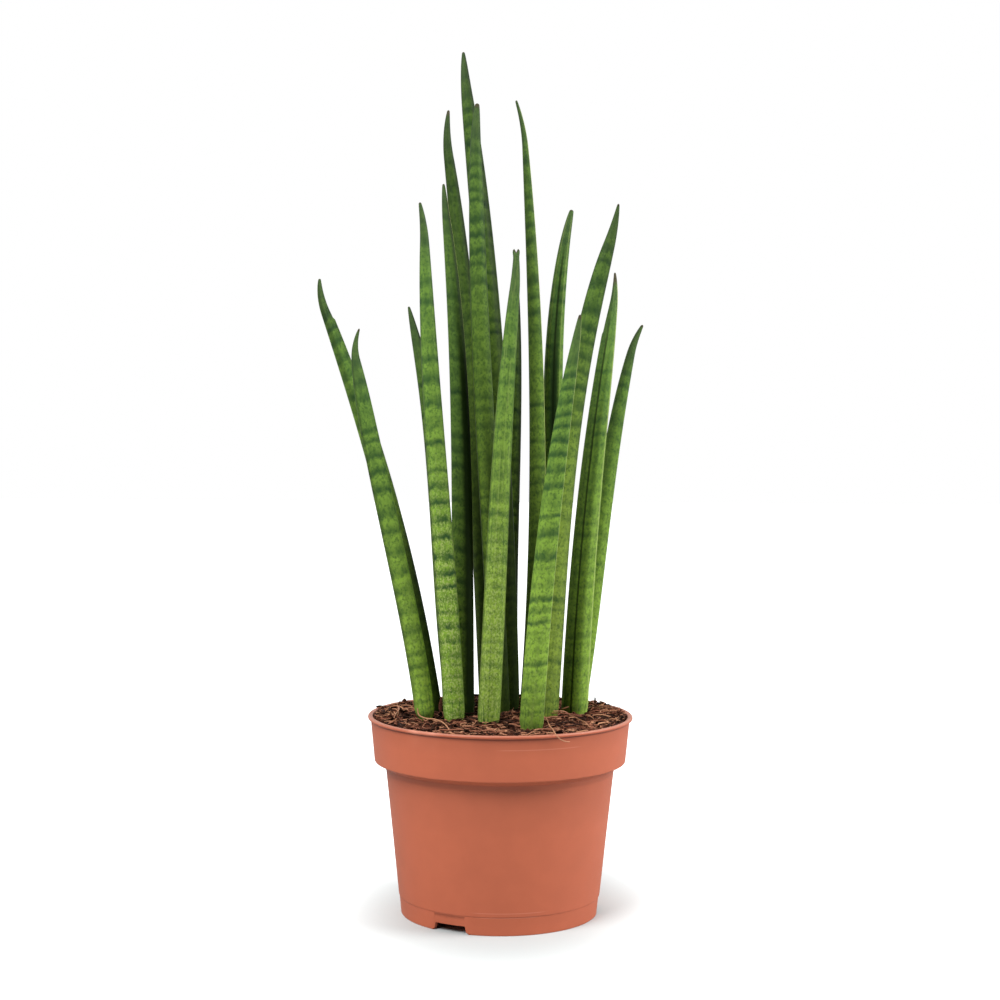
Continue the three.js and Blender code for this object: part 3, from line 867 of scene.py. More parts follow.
    # The skin scaled by the leaf's tones, partly painted light and shade along its length
    inputs = {0: skin, "Scale": add_attribute(tree, "lightness")}
    toned = add_node(tree, "ShaderNodeVectorMath", inputs, operation="SCALE")
    tree.links.new(toned.outputs["Vector"], result["Color"])
    tree.links.new(add_math(tree, "MULTIPLY_ADD", band, -0.3, fibres), result["Height"])
    return tree


def leaf_material(name, settings, leaf):
    """The skin of one leaf: its own tones in the shared banded skin."""
    material, tree, shader = new_material(name, 0.5, 0.06)
    # Painted shade: the leaf's colours darkened by its shade
    dimmed = 1 - leaf["shade"]
    green, brown = np.array(settings.light), np.array(settings.brown)
    light = (1 - leaf["brown"]) * green + leaf["brown"] * brown
    skin = add_group(
        tree,
        skin_group(),
        light=scaled(light, dimmed),
        top=scaled(settings.top, 1 - TOP_SHADE * leaf["shade"]),
        grey_height=leaf["grey"],
        paleness=leaf["pale"],
        dry_length=leaf["dry"] * MM,
        **{key: scaled(getattr(settings, key), dimmed) for key in ("dark", "grey", "pale")},
        **{key: getattr(settings, key) for key in ("line", "point", "deep")},
        **{key: leaf[key] for key in ("contrast", "streaks", "groove", "line_strength")},
    )
    tree.links.new(skin["Color"], shader.inputs["Base Color"])
    set_bump(tree, shader, skin["Height"], 0.07 * MM, 0.6)
    return material


# Pot


def arc(centre_radius, centre_height, width, height, first, last, steps):
    """Points on an ellipse from one angle to another: the centre plus the width times the cosine and
    the height times the sine."""
    angle = np.radians(np.linspace(first, last, steps + 1))
    radius = centre_radius + width * np.cos(angle)
    return np.stack([radius, centre_height + height * np.sin(angle)], -1)


def body_radius(height):
    """The wall's outer radius at a height: the one at the base plus the flare times the height."""
    return BODY_RADIUS_AT_BASE + BODY_FLARE * height


def rounded(points, reach, steps=3):
    """A profile whose inner corners are curves: each corner gives way to a quadratic curve between
    the points that lie the reach, or a third of the side, before and after it. One more point on each
    side of the curve keeps the flat parts flat in the shading."""
    points = np.asarray(points, float)
    before, corner, after = points[:-2], points[1:-1], points[2:]
    back, ahead = before - corner, after - corner
    back_length = np.linalg.norm(back, axis=1, keepdims=True)
    ahead_length = np.linalg.norm(ahead, axis=1, keepdims=True)
    start = corner + back / back_length * np.minimum(reach, back_length / 3)
    end = corner + ahead / ahead_length * np.minimum(reach, ahead_length / 3)
    t = np.linspace(0, 1, steps + 1)[None, :, None]
    curves = (1 - t) ** 2 * start[:, None] + 2 * t * (1 - t) * corner[:, None] + t**2 * end[:, None]
    flat_before = corner + back / back_length * np.minimum(2.5 * reach, 0.45 * back_length)
    flat_after = corner + ahead / ahead_length * np.minimum(2.5 * reach, 0.45 * ahead_length)
    curves = np.concatenate([flat_before[:, None], curves, flat_after[:, None]], 1)
    return np.concatenate([points[:1], curves.reshape(-1, 2), points[-1:]])


def pot_profile():
    """Radius and height along the pot's wall: up the inside of the foot, up the outside, over the
    lip, and down the inside to the floor."""
    outside = [
        [FOOT_INSIDE, FLOOR_UNDERSIDE],
        [FOOT_INSIDE, FLOOR_UNDERSIDE / 2],
        [FOOT_INSIDE, 0],
        [FOOT_OUTSIDE, 0],
        [body_radius(STEP_HEIGHT / 2) - STEP_DEPTH, STEP_HEIGHT / 2],
        [body_radius(STEP_HEIGHT) - STEP_DEPTH, STEP_HEIGHT - FOOT_EDGE],
        [body_radius(STEP_HEIGHT), STEP_HEIGHT],
        [body_radius(BODY_TOP / 3), BODY_TOP / 3],
        [body_radius(BODY_TOP * 2 / 3), BODY_TOP * 2 / 3],
        [body_radius(BODY_TOP), BODY_TOP],
        [LEDGE_RADIUS, LEDGE_HEIGHT],
        [BAND_EDGE_RADIUS, BAND_EDGE_HEIGHT],
        [(BAND_EDGE_RADIUS + BAND_TOP_RADIUS) / 2, (BAND_EDGE_HEIGHT + BAND_TOP) / 2],
        [BAND_TOP_RADIUS, BAND_TOP],
        *arc(LIP_RADIUS, LIP_HEIGHT, LIP_HALF_WIDTH, LIP_HALF_HEIGHT, -90, 90, 14),
        [BAND_TOP_RADIUS - WALL, LIP_HEIGHT + 0.6 * LIP_HALF_HEIGHT],
        [BAND_TOP_RADIUS - WALL, BAND_TOP],
        [BAND_EDGE_RADIUS - WALL, BAND_EDGE_HEIGHT + WALL],
        [LEDGE_RADIUS - WALL, LEDGE_HEIGHT + 1.3 * WALL],
        [body_radius(BODY_TOP) - WALL, BODY_TOP + WALL],
        [body_radius(FLOOR_TOP + FLOOR_FILLET) - WALL, FLOOR_TOP + FLOOR_FILLET],
        [body_radius(FLOOR_TOP) - WALL - FLOOR_FILLET / 2, FLOOR_TOP],
    ]
    return rounded(outside, FOOT_EDGE)


def notch_lift(angles):
    """How far the foot's edge is lifted at each angle: fully inside a notch, and down a steep side
    with a small flare at its bottom."""
    apart = np.abs((angles[:, None] - NOTCH_MIDDLES + 180) % 360 - 180).min(1)
    return np.interp(apart, NOTCH_SIDE_ANGLES, NOTCH_SIDE_HEIGHTS)


def floor_face(angles, rim, height):
    """One face of the pot's floor, facing up, with the half of each drain hole's wall next to it.
    Each sector is a ring of quads between its round hole and its outline, and a disc fills the
    middle. Seen from a hole, the points of its edge lie in the directions of the underside's
    outline on both faces, so that the halves of its wall meet. Returns points, quads, triangles."""
    inner = DRAIN_FROM_AXIS / 2
    half = 180 / DRAIN_COUNT
    inward = np.linspace(0, 1, INWARD_STEPS + 1)[1:-1]
    on_side = np.full(len(inward), half)
    on_inner = np.linspace(half, -half, INNER_STEPS + 1)
    outward = np.concatenate([[0], np.linspace(0, 1, OUTWARD_STEPS + 1)])[:, None, None]
    points, quads, start = [], [], 0
    for middle in 2 * half * np.arange(DRAIN_COUNT):
        inside = (angles - middle + 180) % 360 - 180
        on_rim = np.sort(inside[np.abs(inside) <= half + 1e-6])
        in_share = np.concatenate([0 * on_rim, inward, 0 * on_inner + 1, inward[::-1]])[:, None]
        turn = np.concatenate([on_rim, on_side, on_inner, -on_side]) + middle
        spokes = around(np.radians(turn))
        outline, shared = (spokes * (far + in_share * (inner - far)) for far in (rim, FOOT_INSIDE))
        hole = DRAIN_FROM_AXIS * around(np.radians(middle))
        edge = hole + DRAIN_RADIUS * unit(shared - hole)
        flat = edge + outward * (outline - edge)
        level = np.full((*flat.shape[:2], 1), height)
        level[0] = (FLOOR_UNDERSIDE + FLOOR_TOP) / 2
        points.append(np.concatenate([flat, level], -1).reshape(-1, 3))
        quads.append(grid_quads(*flat.shape[:2], True)[:, ::-1] + start)
        start += len(points[-1])
    turn = np.radians(np.linspace(-half, 360 - half, DRAIN_COUNT * INNER_STEPS, endpoint=False))
    disc = np.column_stack([inner * around(turn), np.full(len(turn), height)])
    points += [disc, [[0, 0, height]]]
    triangles = fan(start + np.arange(len(disc)), start + len(disc))
    return np.concatenate(points), np.concatenate(quads), triangles


def build_pot(settings):
    """The pot: the profile turned about the axis, with the foot's edge lifted in the notches, and a
    floor with drain holes. A foot point z below the step moves up by the lift times 1 - z / step.
    The values mark the painted shade on the lip's top, its worn place, and the painted shade under the
    lip and band."""
    sides = np.concatenate([NOTCH_SIDE_ANGLES, -NOTCH_SIDE_ANGLES])
    even = np.arange(settings.columns) * 360 / settings.columns
    at_notches = (NOTCH_MIDDLES[:, None] + sides).ravel() % 360
    angles = np.unique(np.round(np.concatenate([even, at_notches]), 4))
    profile = pot_profile()
    radius, height = profile[:, :1], profile[:, 1:]
    limit = np.where(radius <= FOOT_INSIDE * 1.00001, FLOOR_UNDERSIDE, STEP_HEIGHT)
    lifted = height + notch_lift(angles) * np.clip(1 - height / limit, 0, 1)
    before_lip = np.arange(len(profile))[:, None] < height.argmax()
    height = np.where(before_lip & (height < STEP_HEIGHT * 0.9), lifted, height)
    flat = radius[..., None] * around(np.radians(angles))
    wall = np.concatenate([flat, height[..., None]], -1)
    under, under_quads, under_disc = floor_face(angles, *profile[0])
    over, over_quads, over_disc = floor_face(angles, *profile[-1])
    under_start = height.size
    over_start = under_start + len(under)
    quads = [
        grid_quads(*height.shape, True),
        under_quads[:, ::-1] + under_start,
        over_quads + over_start,
    ]
    discs = [under_disc[:, ::-1] + under_start, over_disc + over_start]
    points = np.concatenate([wall.reshape(-1, 3), under, over])
    points, faces = weld(points, [np.concatenate(quads), np.concatenate(discs)])
    x, y, level = points.T
    from_axis = np.hypot(x, y)
    off_flaw = np.degrees(np.arctan2(y, x)) - LIP_FLAW_DIRECTION
    worn = bell(off_flaw, LIP_FLAW_HALF_WIDTH, 4) * bell(level - LIP_HEIGHT, LIP_FLAW_HALF_HEIGHT)
    # Painted shade in the corners under the lip and under the band
    painted_undercut_shade = np.zeros(len(points))
    for (middle, half_height, strength), outside in ((LIP_PAINTED_SHADE, LIP_RADIUS), (BAND_PAINTED_SHADE, LEDGE_RADIUS)):
        painted_undercut_shade += strength * bell(level - middle, half_height) * (from_axis < outside)
    # Painted shade on the lip's top, rising over its upper part
    edge = smooth_step(level, LIP_HEIGHT, LIP_HEIGHT + 0.6 * LIP_HALF_HEIGHT)
    values = {"worn": worn, "edge": edge, "painted_undercut_shade": painted_undercut_shade}
    make_piece("pot_shell", points + POT_AXIS, faces, plastic_material(settings), ["pot"], values)


# Soil


def dip_at_feet(x, y):
    """How far the soil dips round the leaves: the depth times exp(-(distance / reach) ^ 2), where the
    distance is from the nearest leaf's edge."""
    apart = np.hypot(x[..., None] - FEET[:, 0], y[..., None] - FEET[:, 1]) - FOOT_RADII
    return FOOT_DIP * bell(np.maximum(0, apart.min(-1)), FOOT_DIP_REACH)


def soil_height(x, y):
    """The mean surface of the soil: it changes by the fourth power of the distance to the wall, and
    three waves of different lengths raise its lumps. It dips round the leaves."""
    to_wall = np.hypot(x, y) / (BAND_TOP_RADIUS - WALL)
    level = SOIL_LEVEL + (SOIL_LEVEL_AT_WALL - SOIL_LEVEL) * to_wall**4
    right, back = x / MM, y / MM
    coarse = 0.5 * np.sin(right / 6.3) * np.cos(back / 7.2)
    slanted = 0.3 * np.sin(right / 11.3 + back / 6.6)
    fine = 0.2 * np.sin(right / 3.1 - back / 4.4)
    return level + SOIL_LUMP * (coarse + slanted + fine) - dip_at_feet(x, y)


def pile_height(x, y):
    """How much higher the loose pieces lie near the wall at the back and the sides: the sixth power
    of the distance to the wall, times a smooth step from front to back."""
    near_wall = np.minimum(1, np.hypot(x, y) / SOIL_EDGE) ** 6
    return PILE * near_wall * smooth_step(y, -PILE_REACH, PILE_REACH)


def build_soil(settings):
    """The bed of soil: a square grid pressed into a disc, x = u * sqrt(1 - v^2 / 2) and the same for
    y, raised by the lumps and by two sizes of crumbs, with a side and a bottom inside the pot."""
    side = settings.grid
    even = np.linspace(-1, 1, side)
    u, v = np.meshgrid(even, even)
    x = SOIL_EDGE * u * np.sqrt(1 - v**2 / 2)
    y = SOIL_EDGE * v * np.sqrt(1 - u**2 / 2)
    places = np.stack([x, y], -1)
    coarse = dome_relief(places, COARSE_CELL, settings.seed)
    fine = dome_relief(places, FINE_CELL, settings.seed + 1)
    grit = lattice_noise(places, GRIT_CELL, settings.seed + 2)
    relief = 0.95 * coarse + 0.8 * fine + GRIT_HEIGHT * grit - RELIEF_DROP
    fade = np.clip((SOIL_EDGE - np.hypot(x, y)) / RELIEF_FADE, 0, 1)
    height = soil_height(x, y) + relief * (0.3 + 0.7 * fade)
    top = np.stack([x, y, height], -1).reshape(-1, 3)
    order = np.arange(side * side).reshape(side, side)
    loop = np.concatenate([order[0, :-1], order[:-1, -1], order[-1, :0:-1], order[:0:-1, 0]])
    inward = WALL + SOIL_CLEARANCE
    rings = [
        (SOIL_EDGE, BAND_TOP - 4 * MM),
        (BAND_EDGE_RADIUS - inward, BAND_EDGE_HEIGHT + 2 * WALL),
        (LEDGE_RADIUS - inward, LEDGE_HEIGHT + 2 * WALL),
        (body_radius(BODY_TOP) - inward, BODY_TOP),
        (body_radius(FLOOR_TOP) - WALL - FLOOR_FILLET, FLOOR_TOP + SOIL_CLEARANCE),
    ]
    outward = unit(top[loop, :2])
    rows = [np.column_stack([outward * radius, np.full(len(loop), level)]) for radius, level in rings]
    points = np.concatenate([top, *rows, [[0, 0, FLOOR_TOP + SOIL_CLEARANCE]]])
    first_row = np.arange(len(loop)) + len(top)
    last_row = first_row + (len(rings) - 1) * len(loop)
    wall = np.stack([loop, first_row, np.roll(first_row, -1), np.roll(loop, -1)], -1)
    lower = grid_quads(len(rings), len(loop), True)[:, ::-1] + len(top)
    quads = np.concatenate([grid_quads(side, side, False), wall, lower])
    faces = [quads, fan(last_row, len(points) - 1)[:, ::-1]]
    raised = np.zeros(len(points))
    # How high each point of the bed lies in its relief, which paints shade into its low places
    raised[:len(top)] = np.clip((relief / MM + 2.0) / 2.6, 0, 1).ravel()
    values = {"raised": raised}
    material = peat_material(settings)
    make_piece("soil_bed", points + POT_AXIS, faces, material, ["soil"], values)


def clear_places(draw, count, farthest, margin):
    """Random places on the soil that keep a margin from every leaf's foot: the square root of an
    even draw gives an even spread over the disc."""
    angle = draw.uniform(0, 2 * np.pi, 3 * count)
    radius = farthest * np.sqrt(draw.uniform(0, 1, 3 * count))
    places = radius[:, None] * around(angle)
    apart = np.linalg.norm(places[:, None] - FEET, axis=-1)
    return places[(apart > FOOT_RADII + margin).all(1)][:count]


def ball(rings, sides):
    """A closed ball of radius 1 with one point at each pole: points, quads and triangles."""
    polar = np.linspace(0, np.pi, rings + 2)[1:-1, None, None]
    flat = np.sin(polar) * around(np.linspace(0, 2 * np.pi, sides, endpoint=False))
    level = np.cos(polar) + np.zeros((1, sides, 1))
    round_part = np.concatenate([flat, level], -1).reshape(-1, 3)
    quads, caps = capped_grid(rings, sides)
    return np.concatenate([round_part, [[0, 0, 1], [0, 0, -1]]]), quads[:, ::-1], caps[:, ::-1]


def turned_axes(draw, count, flat):
    """Random right-handed axes for each of several pieces. The third leans from the vertical by
    less, the flatter they lie."""
    lean = draw.normal(0, 1, (count, 3)) * (1 - flat)
    up = unit(lean + [0, 0, 1])
    ahead = unit(np.cross(up, draw.normal(0, 1, (count, 3))))
    return np.stack([ahead, np.cross(up, ahead), up], -2)


def scattered_lumps(draw, places, sizes, rings, sides, dent, flat, sunk):
    """Copies of a ball for each place: scaled along its own axes, dented by a random factor for each
    point, turned, and sunk by a share of its height. Returns points, quads, triangles."""
    points, quads, triangles = ball(rings, sides)
    dents = 1 + draw.uniform(-dent, dent, (len(places), len(points), 1))
    axes = turned_axes(draw, len(places), flat)
    spread = np.einsum("nij,njk->nik", points * dents * sizes[:, None], axes)
    ground = soil_height(*places.T) + pile_height(*places.T) - 0.6 * MM
    middle = np.column_stack([places, ground + (1 - 2 * sunk) * sizes[:, 2]])
    return repeated(spread + middle[:, None], quads, triangles)


def tubes(paths, radii, sides):
    """Closed tubes along paths: paths is (count, steps, 3) and radii (count, steps). Each ring lies
    across the path, on two axes that are square to its direction and to the vertical, and the last
    ring of each end closes on one point."""
    count, steps = paths.shape[:2]
    along = unit(np.gradient(paths, axis=1))
    helper = np.where(np.abs(along[..., 2:]) > 0.9, [1.0, 0, 0], [0, 0, 1.0])
    across = unit(np.cross(along, helper))
    upward = np.cross(across, along)
    turn = np.linspace(0, 2 * np.pi, sides, endpoint=False)[:, None]
    ring = np.cos(turn) * across[:, :, None] + np.sin(turn) * upward[:, :, None]
    rings = paths[:, :, None] + radii[..., None, None] * ring
    first = paths[:, :1] - along[:, :1] * radii[:, :1, None]
    last = paths[:, -1:] + along[:, -1:] * radii[:, -1:, None]
    quads, caps = capped_grid(steps, sides)
    points = np.concatenate([rings.reshape(count, -1, 3), first, last], 1)
    return repeated(points, quads[:, ::-1], caps[:, ::-1])


def make_litter(name, parts, tone, material, label="tone", smooth=True):
    """A piece of loose bits on the soil, from the points, quads and triangles of all its bits and a
    tone for each bit, which its points carry under the label."""
    points, quads, triangles = parts
    faces = [quads, triangles]
    values = {label: np.repeat(tone, len(points) // len(tone))}
    make_piece(name, points + POT_AXIS, faces, material, values=values, smooth=smooth)


def build_crumbs(settings):
    """Loose crumbs of peat of many sizes on the bed, each a dented ball."""
    draw = np.random.default_rng(settings.seed + 10)
    places = clear_places(draw, settings.crumbs, SOIL_EDGE - 1.5 * MM, 0.4 * MM)
    count = len(places)
    size = 0.45 * MM + 1.5 * MM * draw.uniform(0, 1, (count, 1)) ** 2.5
    sizes = size * draw.uniform(0.5, 1.4, (count, 3))
    parts = scattered_lumps(draw, places, sizes, 3, 6, 0.3, 0.3, 0.3)
    tone = np.interp(draw.uniform(0, 1, count), TONE_SHARES, [0, 0.1, 0.4, 1])
    make_litter("soil_crumbs", parts, tone, peat_material(settings), "raised", smooth=False)


def build_fibres(settings):
    """Short coir fibres that lie on the soil: each runs along a heading, bends to one side by a
    parabola and an S-shaped wave, and arches or rises at one end."""
    draw = np.random.default_rng(settings.seed + 20)
    places = clear_places(draw, settings.fibres, SOIL_EDGE - 2 * MM, 0.8 * MM)
    bunch = np.array(BUNCH_MIDDLE) + draw.normal(0, BUNCH_SPREAD, (BUNCH_COUNT, 2))
    places = np.concatenate([places, bunch])
    count = len(places)
    in_bunch = np.arange(count) >= count - BUNCH_COUNT
    t = np.linspace(-1, 1, FIBRE_STEPS)
    reach = draw.uniform(1.5 * MM, 6.0 * MM, (count, 1)) * draw.uniform(0.6, 1.5, (count, 1))
    heading = draw.uniform(0, 2 * np.pi, (count, 1))
    bend = draw.normal(0, 0.3, (count, 1)) * reach
    wave = draw.normal(0, 0.18, (count, 1)) * reach
    along = reach * t
    aside = bend * (1 - t**2) + wave * np.sin(np.pi * t)
    x = places[:, :1] + along * np.cos(heading) - aside * np.sin(heading)
    y = places[:, 1:] + along * np.sin(heading) + aside * np.cos(heading)
    too_far = np.maximum(1, np.hypot(x, y) / (SOIL_EDGE - 0.8 * MM))
    x, y = x / too_far, y / too_far
    arch = draw.uniform(0, 0.22, (count, 1)) * reach
    rise = np.clip(draw.normal(-0.15, 0.25, (count, 1)) * reach, 0, 0.8 * MM)
    above = draw.uniform(-0.8 * MM, 1.0 * MM, (count, 1)) + arch * (1 - t**2) + rise * (1 + t)
    paths = np.stack([x, y, soil_height(x, y) + above + pile_height(x, y)], -1)
    thickness = settings.fibre_thickness * (0.6 + 2.2 * draw.uniform(0, 1, (count, 1)) ** 2)
    parts = tubes(paths, thickness / 2 * (1 - 0.4 * t**4), 4)
    tone = np.interp(draw.uniform(0, 1, count), TONE_SHARES, [0, 0.06, 0.4, 1])
    tone = np.where(in_bunch, 0.5 + 0.4 * tone, tone)
    material = fibre_material("Coir", scaled(settings.coir, 0.08), settings.coir, settings.pale_coir)
    make_litter("coir_fibres", parts, tone, material)


# Routes of the strands that lie singly on the soil: right, back and height above its mean level, in
# millimetres, then the thickness and the tone from dark to pale
STRANDS = [
    (
        [
            [-52.5, -21, 8], [-51.5, -22, 4], [-47, -25, 2.4], [-40, -31, 2.5], [-34.5, -48, 2.6],
            [-29, -70, 0],
        ],
        0.9,
        1.0,
    ),
    (
        [
            [28.5, -14, -2], [29, -22, 2.6], [30.3, -52, 2.8], [32, -70, 3.2], [33.2, -79.8, 2.2],
            [36, -80.2, -0.8], [39.5, -78.8, -2.6], [42, -77, -3],
        ],
        0.7,
        0.9,
    ),
    ([[41, 2, -2], [45, -12, 2.4], [50, -27, 2.5], [54, -41, 2.2], [57, -52, -2]], 0.7, 0.8),
    ([[35, 8, -2], [39, 2, 4], [44, -4, 7]], 0.8, 0.85),
    ([[47, 2, -2], [42, -3, 3.5], [34, -12, 5.5]], 0.8, 0.85),
    ([[50, -2, 1.5], [42, -6, 3], [33, -8, 3.6]], 0.7, 0.6),
    (
        [
            [-77, -2, -2], [-73, 10, 3.4], [-67, 12, 4.4], [-65.5, 0, 3.6], [-67, -14, 2.6],
            [-69, -26, -2],
        ],
        0.8,
        0.8,
    ),
]
STRAND_STEPS = 60


# Chips that stand or lie singly: middle and half sizes in millimetres, then the tone
PLACED_CHIPS = [
    ([63.5, 46, 129.4], [0.7, 0.6, 2.6], 0.6),
    ([67, 42, 128.3], [3.6, 1.2, 1.0], 0.5),
    ([71, 37, 128.0], [2.6, 1.4, 0.9], 0.45),
    ([-39.2, 16, 130], [1.2, 0.4, 5.2], 0.75),
    ([-79.5, 25, 127.9], [2.4, 1.0, 0.9], 0.1),
    ([52, 55, 127.8], [2.6, 1.2, 0.9], 0.3),
]


def smooth_route(route, steps):
    """Points on a curve through a route: between two points, a cubic whose slopes are half the step
    from the point before to the point after."""
    route = np.asarray(route, float)
    padded = np.concatenate([2 * route[:1] - route[1:2], route, 2 * route[-1:] - route[-2:-1]])
    at = np.linspace(0, len(route) - 1, steps)
    i = np.minimum(at.astype(int), len(route) - 2)
    t = (at - i)[:, None]
    before, start, end, after = (padded[i + k] for k in range(4))
    slope_start, slope_end = (end - before) / 2, (after - start) / 2
    return (
        (2 * t**3 - 3 * t**2 + 1) * start + (t**3 - 2 * t**2 + t) * slope_start
        + (3 * t**2 - 2 * t**3) * end + (t**3 - t**2) * slope_end
    )


def build_strands(settings):
    """The single strands and roots, each a tapered tube along its own route."""
    routes, thicknesses, tones = zip(*STRANDS)
    paths = np.array([smooth_route(route, STRAND_STEPS) for route in routes]) * MM
    paths[..., 2] += SOIL_LEVEL
    t = np.linspace(-1, 1, STRAND_STEPS)
    radii = np.array(thicknesses)[:, None] / 2 * MM * (1 - 0.3 * t**2)
    dark = scaled(settings.coir, 0.5)
    material = fibre_material("Pale root", dark, settings.coir, settings.pale_coir, 0.55)
    make_litter("loose_strands", tubes(paths, radii, 8), tones, material)


def build_chips(settings):
    """Flat splinters of bark, most of them small, each a dented ball drawn out and pressed flat."""
    draw = np.random.default_rng(settings.seed + 30)
    places = clear_places(draw, settings.chips, SOIL_EDGE - 4 * MM, 2 * MM)
    count = len(places)
    size = draw.uniform(0.8 * MM, 2.2 * MM, (count, 1))
    sizes = size * np.array([1.7, 0.8, 0.3]) * draw.uniform(0.7, 1.3, (count, 3))
    points, quads, triangles = scattered_lumps(draw, places, sizes, 4, 8, 0.18, 0.55, 0.1)
    tone = draw.uniform(0, 1, count)
    middles, half_sizes, placed_tones = (np.array(each) for each in zip(*PLACED_CHIPS))
    single, *single_faces = ball(4, 8)
    dents = 1 + draw.uniform(-0.2, 0.2, (len(middles), len(single), 1))
    placed = MM * (single * dents * half_sizes[:, None] + middles[:, None])
    placed, placed_quads, placed_caps = repeated(placed, *single_faces)
    parts = (
        np.concatenate([points, placed]),
        np.concatenate([quads, placed_quads + len(points)]),
        np.concatenate([triangles, placed_caps + len(points)]),
    )
    tone = np.append(tone, placed_tones)
    material = fibre_material("Bark", scaled(settings.bark, 0.4), settings.bark, settings.coir, 0.85)
    make_litter("bark_chips", parts, tone, material, smooth=False)


# Leaves


def spine(leaf, shares):
    """Points on a leaf's spine at shares of its length: a cubic curve from foot to tip whose inner
    handles stand at the thirds, set off to the right by the bow, plus the hook times the squared
    share of the last stretch. A negative share runs straight on into the soil."""
    foot, tip = leaf["foot"], leaf["tip"]
    low = foot + (tip - foot) / 3 + [leaf["bow"][0], 0, 0]
    high = foot + (tip - foot) * 2 / 3 + [leaf["bow"][1], 0, 0]
    t = shares[:, None]
    curve = (1 - t) ** 3 * foot + 3 * t * (1 - t) ** 2 * low + 3 * t**2 * (1 - t) * high + t**3 * tip
    below = foot + 3 * t * (low - foot)
    points = np.where(t < 0, below, curve)
    points[:, 0] += leaf["hook"] * (np.maximum(0, shares - HOOK_START) / (1 - HOOK_START)) ** 2
    return points


def leaf_length(leaf):
    """The distance from where a leaf leaves the soil to its point, in a straight line."""
    ends = spine(leaf, np.array([0.0, 1.0]))
    return float(np.linalg.norm(ends[1] - ends[0]))


def leaf_radius(leaf, shares):
    """Half the girth times 1 - exp(-(distance below the point / taper) ^ 0.8), plus the blunt radius
    fading down the leaf, narrower in the soil and rounded in just above it. A slim point takes off a
    share that fades by exp(-(distance / reach) ^ 2). The point is a dome: at a distance d below it
    the radius takes the factor sqrt(1 - (1 - d / blunt) ^ 2)."""
    straight = leaf_length(leaf)
    below_point = np.maximum(0, 1 - shares) * straight
    full = 1 - bell(below_point, leaf["taper"], GIRTH_CURVE)
    narrowing, over = leaf["rounding"]
    above_soil = np.maximum(0, shares * straight) / (over * MM)
    rounding = 1 - narrowing * np.exp(-3 * above_soil**2)
    buried = np.where(shares < 0, BURIED_TAPER, 1) * rounding
    radius = (leaf["girth"] / 2 * full + leaf["blunt"] * np.exp(-below_point / POINT_FADE)) * buried
    slimmer, reach = leaf["slim"]
    radius *= 1 - slimmer * bell(below_point, reach * MM)
    to_point = 1 - np.minimum(1, below_point / leaf["blunt"])
    return radius * np.sqrt(np.maximum(DOME_END, 1 - to_point**2))


def band_values(leaf, number, heights, settings):
    """For each height, the count of dark bands below it and how strong the nearest one is. The
    clearest bands stand where the leaf says. Between them the others are spread evenly, then moved
    a little and given a strength by a seeded draw."""
    draw = np.random.default_rng(100 + number)
    top = leaf["tip"][2]
    marks = np.array([SOIL_LEVEL - 2 * BURIED, *(MM * np.array(leaf["bands"])), top + 5 * MM])
    places, strengths = [], []
    for low, high in zip(marks[:-1], marks[1:]):
        up = ((low + high) / 2 - SOIL_LEVEL) / (top - SOIL_LEVEL)
        spacing = np.interp(up, [0, 1], [settings.low_spacing, settings.high_spacing])
        between = max(1, round((high - low) / spacing))
        even = low + (high - low) * np.arange(between) / between
        even[1:] += draw.uniform(-0.3, 0.3, between - 1) * spacing
        places.extend(even)
        strengths.extend([draw.uniform(0.8, 1.0), *draw.uniform(0.15, 0.85, between - 1)])
    places.append(marks[-1])
    strengths.append(0.5)
    phase = np.interp(heights, places, np.arange(len(places)))
    return phase, np.array(strengths)[np.round(phase).astype(int)]


def leaf_axes(leaf, shares):
    """For points on a leaf's spine, the direction up along it, the one straight out of the channel
    and the one across both. The first is the step between two near points of the spine, and the
    second the channel's direction less its part along the first."""
    near = 1e-4
    above = np.minimum(1, shares + near)
    tangents = unit(spine(leaf, above) - spine(leaf, above - near))
    facing = np.array([math.cos(leaf["channel"]), math.sin(leaf["channel"]), 0])
    towards = unit(facing - (tangents @ facing)[:, None] * tangents)
    return tangents, towards, np.cross(tangents, towards)


def leaf_radii(leaf, shares, heights, turn):
    """The radius at each row and column: that of a circle, with the channel pressed in by the depth
    times exp(-(angle / half width) ^ 2) and a low ridge of the same form on each side of it. A
    shoulder adds its size, times the same form round its side, fading down the leaf."""
    angle = np.degrees(turn)
    pressed = 1 - CHANNEL_DEPTH * bell(angle, CHANNEL_HALF_WIDTH)
    ridge = RIDGE_HEIGHT * bell(np.abs(angle) - RIDGE_ANGLE, RIDGE_HALF_WIDTH)
    radii = leaf_radius(leaf, shares)[:, None] * (pressed + ridge)
    if leaf["step"]:
        height, side, size = leaf["step"]
        below = np.maximum(0, height * MM - heights)[:, None]
        fading = np.minimum(1, below / STEP_RISE) * np.exp(-below / STEP_FADE)
        radii = radii + size * MM * fading * bell(angle - side, STEP_HALF_WIDTH)
    return radii


def leaf_painted_shade(leaf, shares, turn):
    """How much painted shade each row and column has: the most that any painted dark side gives, a
    smooth step round the leaf times one along it, or the flanks, a smooth step from straight across
    the channel."""
    off_flank = np.abs(np.abs(np.degrees(turn)) - 90)
    # Painted shade on the flanks, at right angles to the channel
    painted_shade = leaf["rims"] * smooth_step(off_flank, *PAINTED_FLANK_FADE) + np.zeros((len(shares), 1))
    for direction, amount, reach, inner, outer in leaf["dark_sides"]:
        apart = np.degrees(turn + leaf["channel"]) - direction
        apart = np.abs((apart + 180) % 360 - 180)
        low_down = smooth_step(shares, reach + PAINTED_DARK_SIDE_FADE, reach - PAINTED_DARK_SIDE_FADE)[:, None]
        painted_shade = np.maximum(painted_shade, amount * smooth_step(apart, outer, inner) * low_down)
    return painted_shade


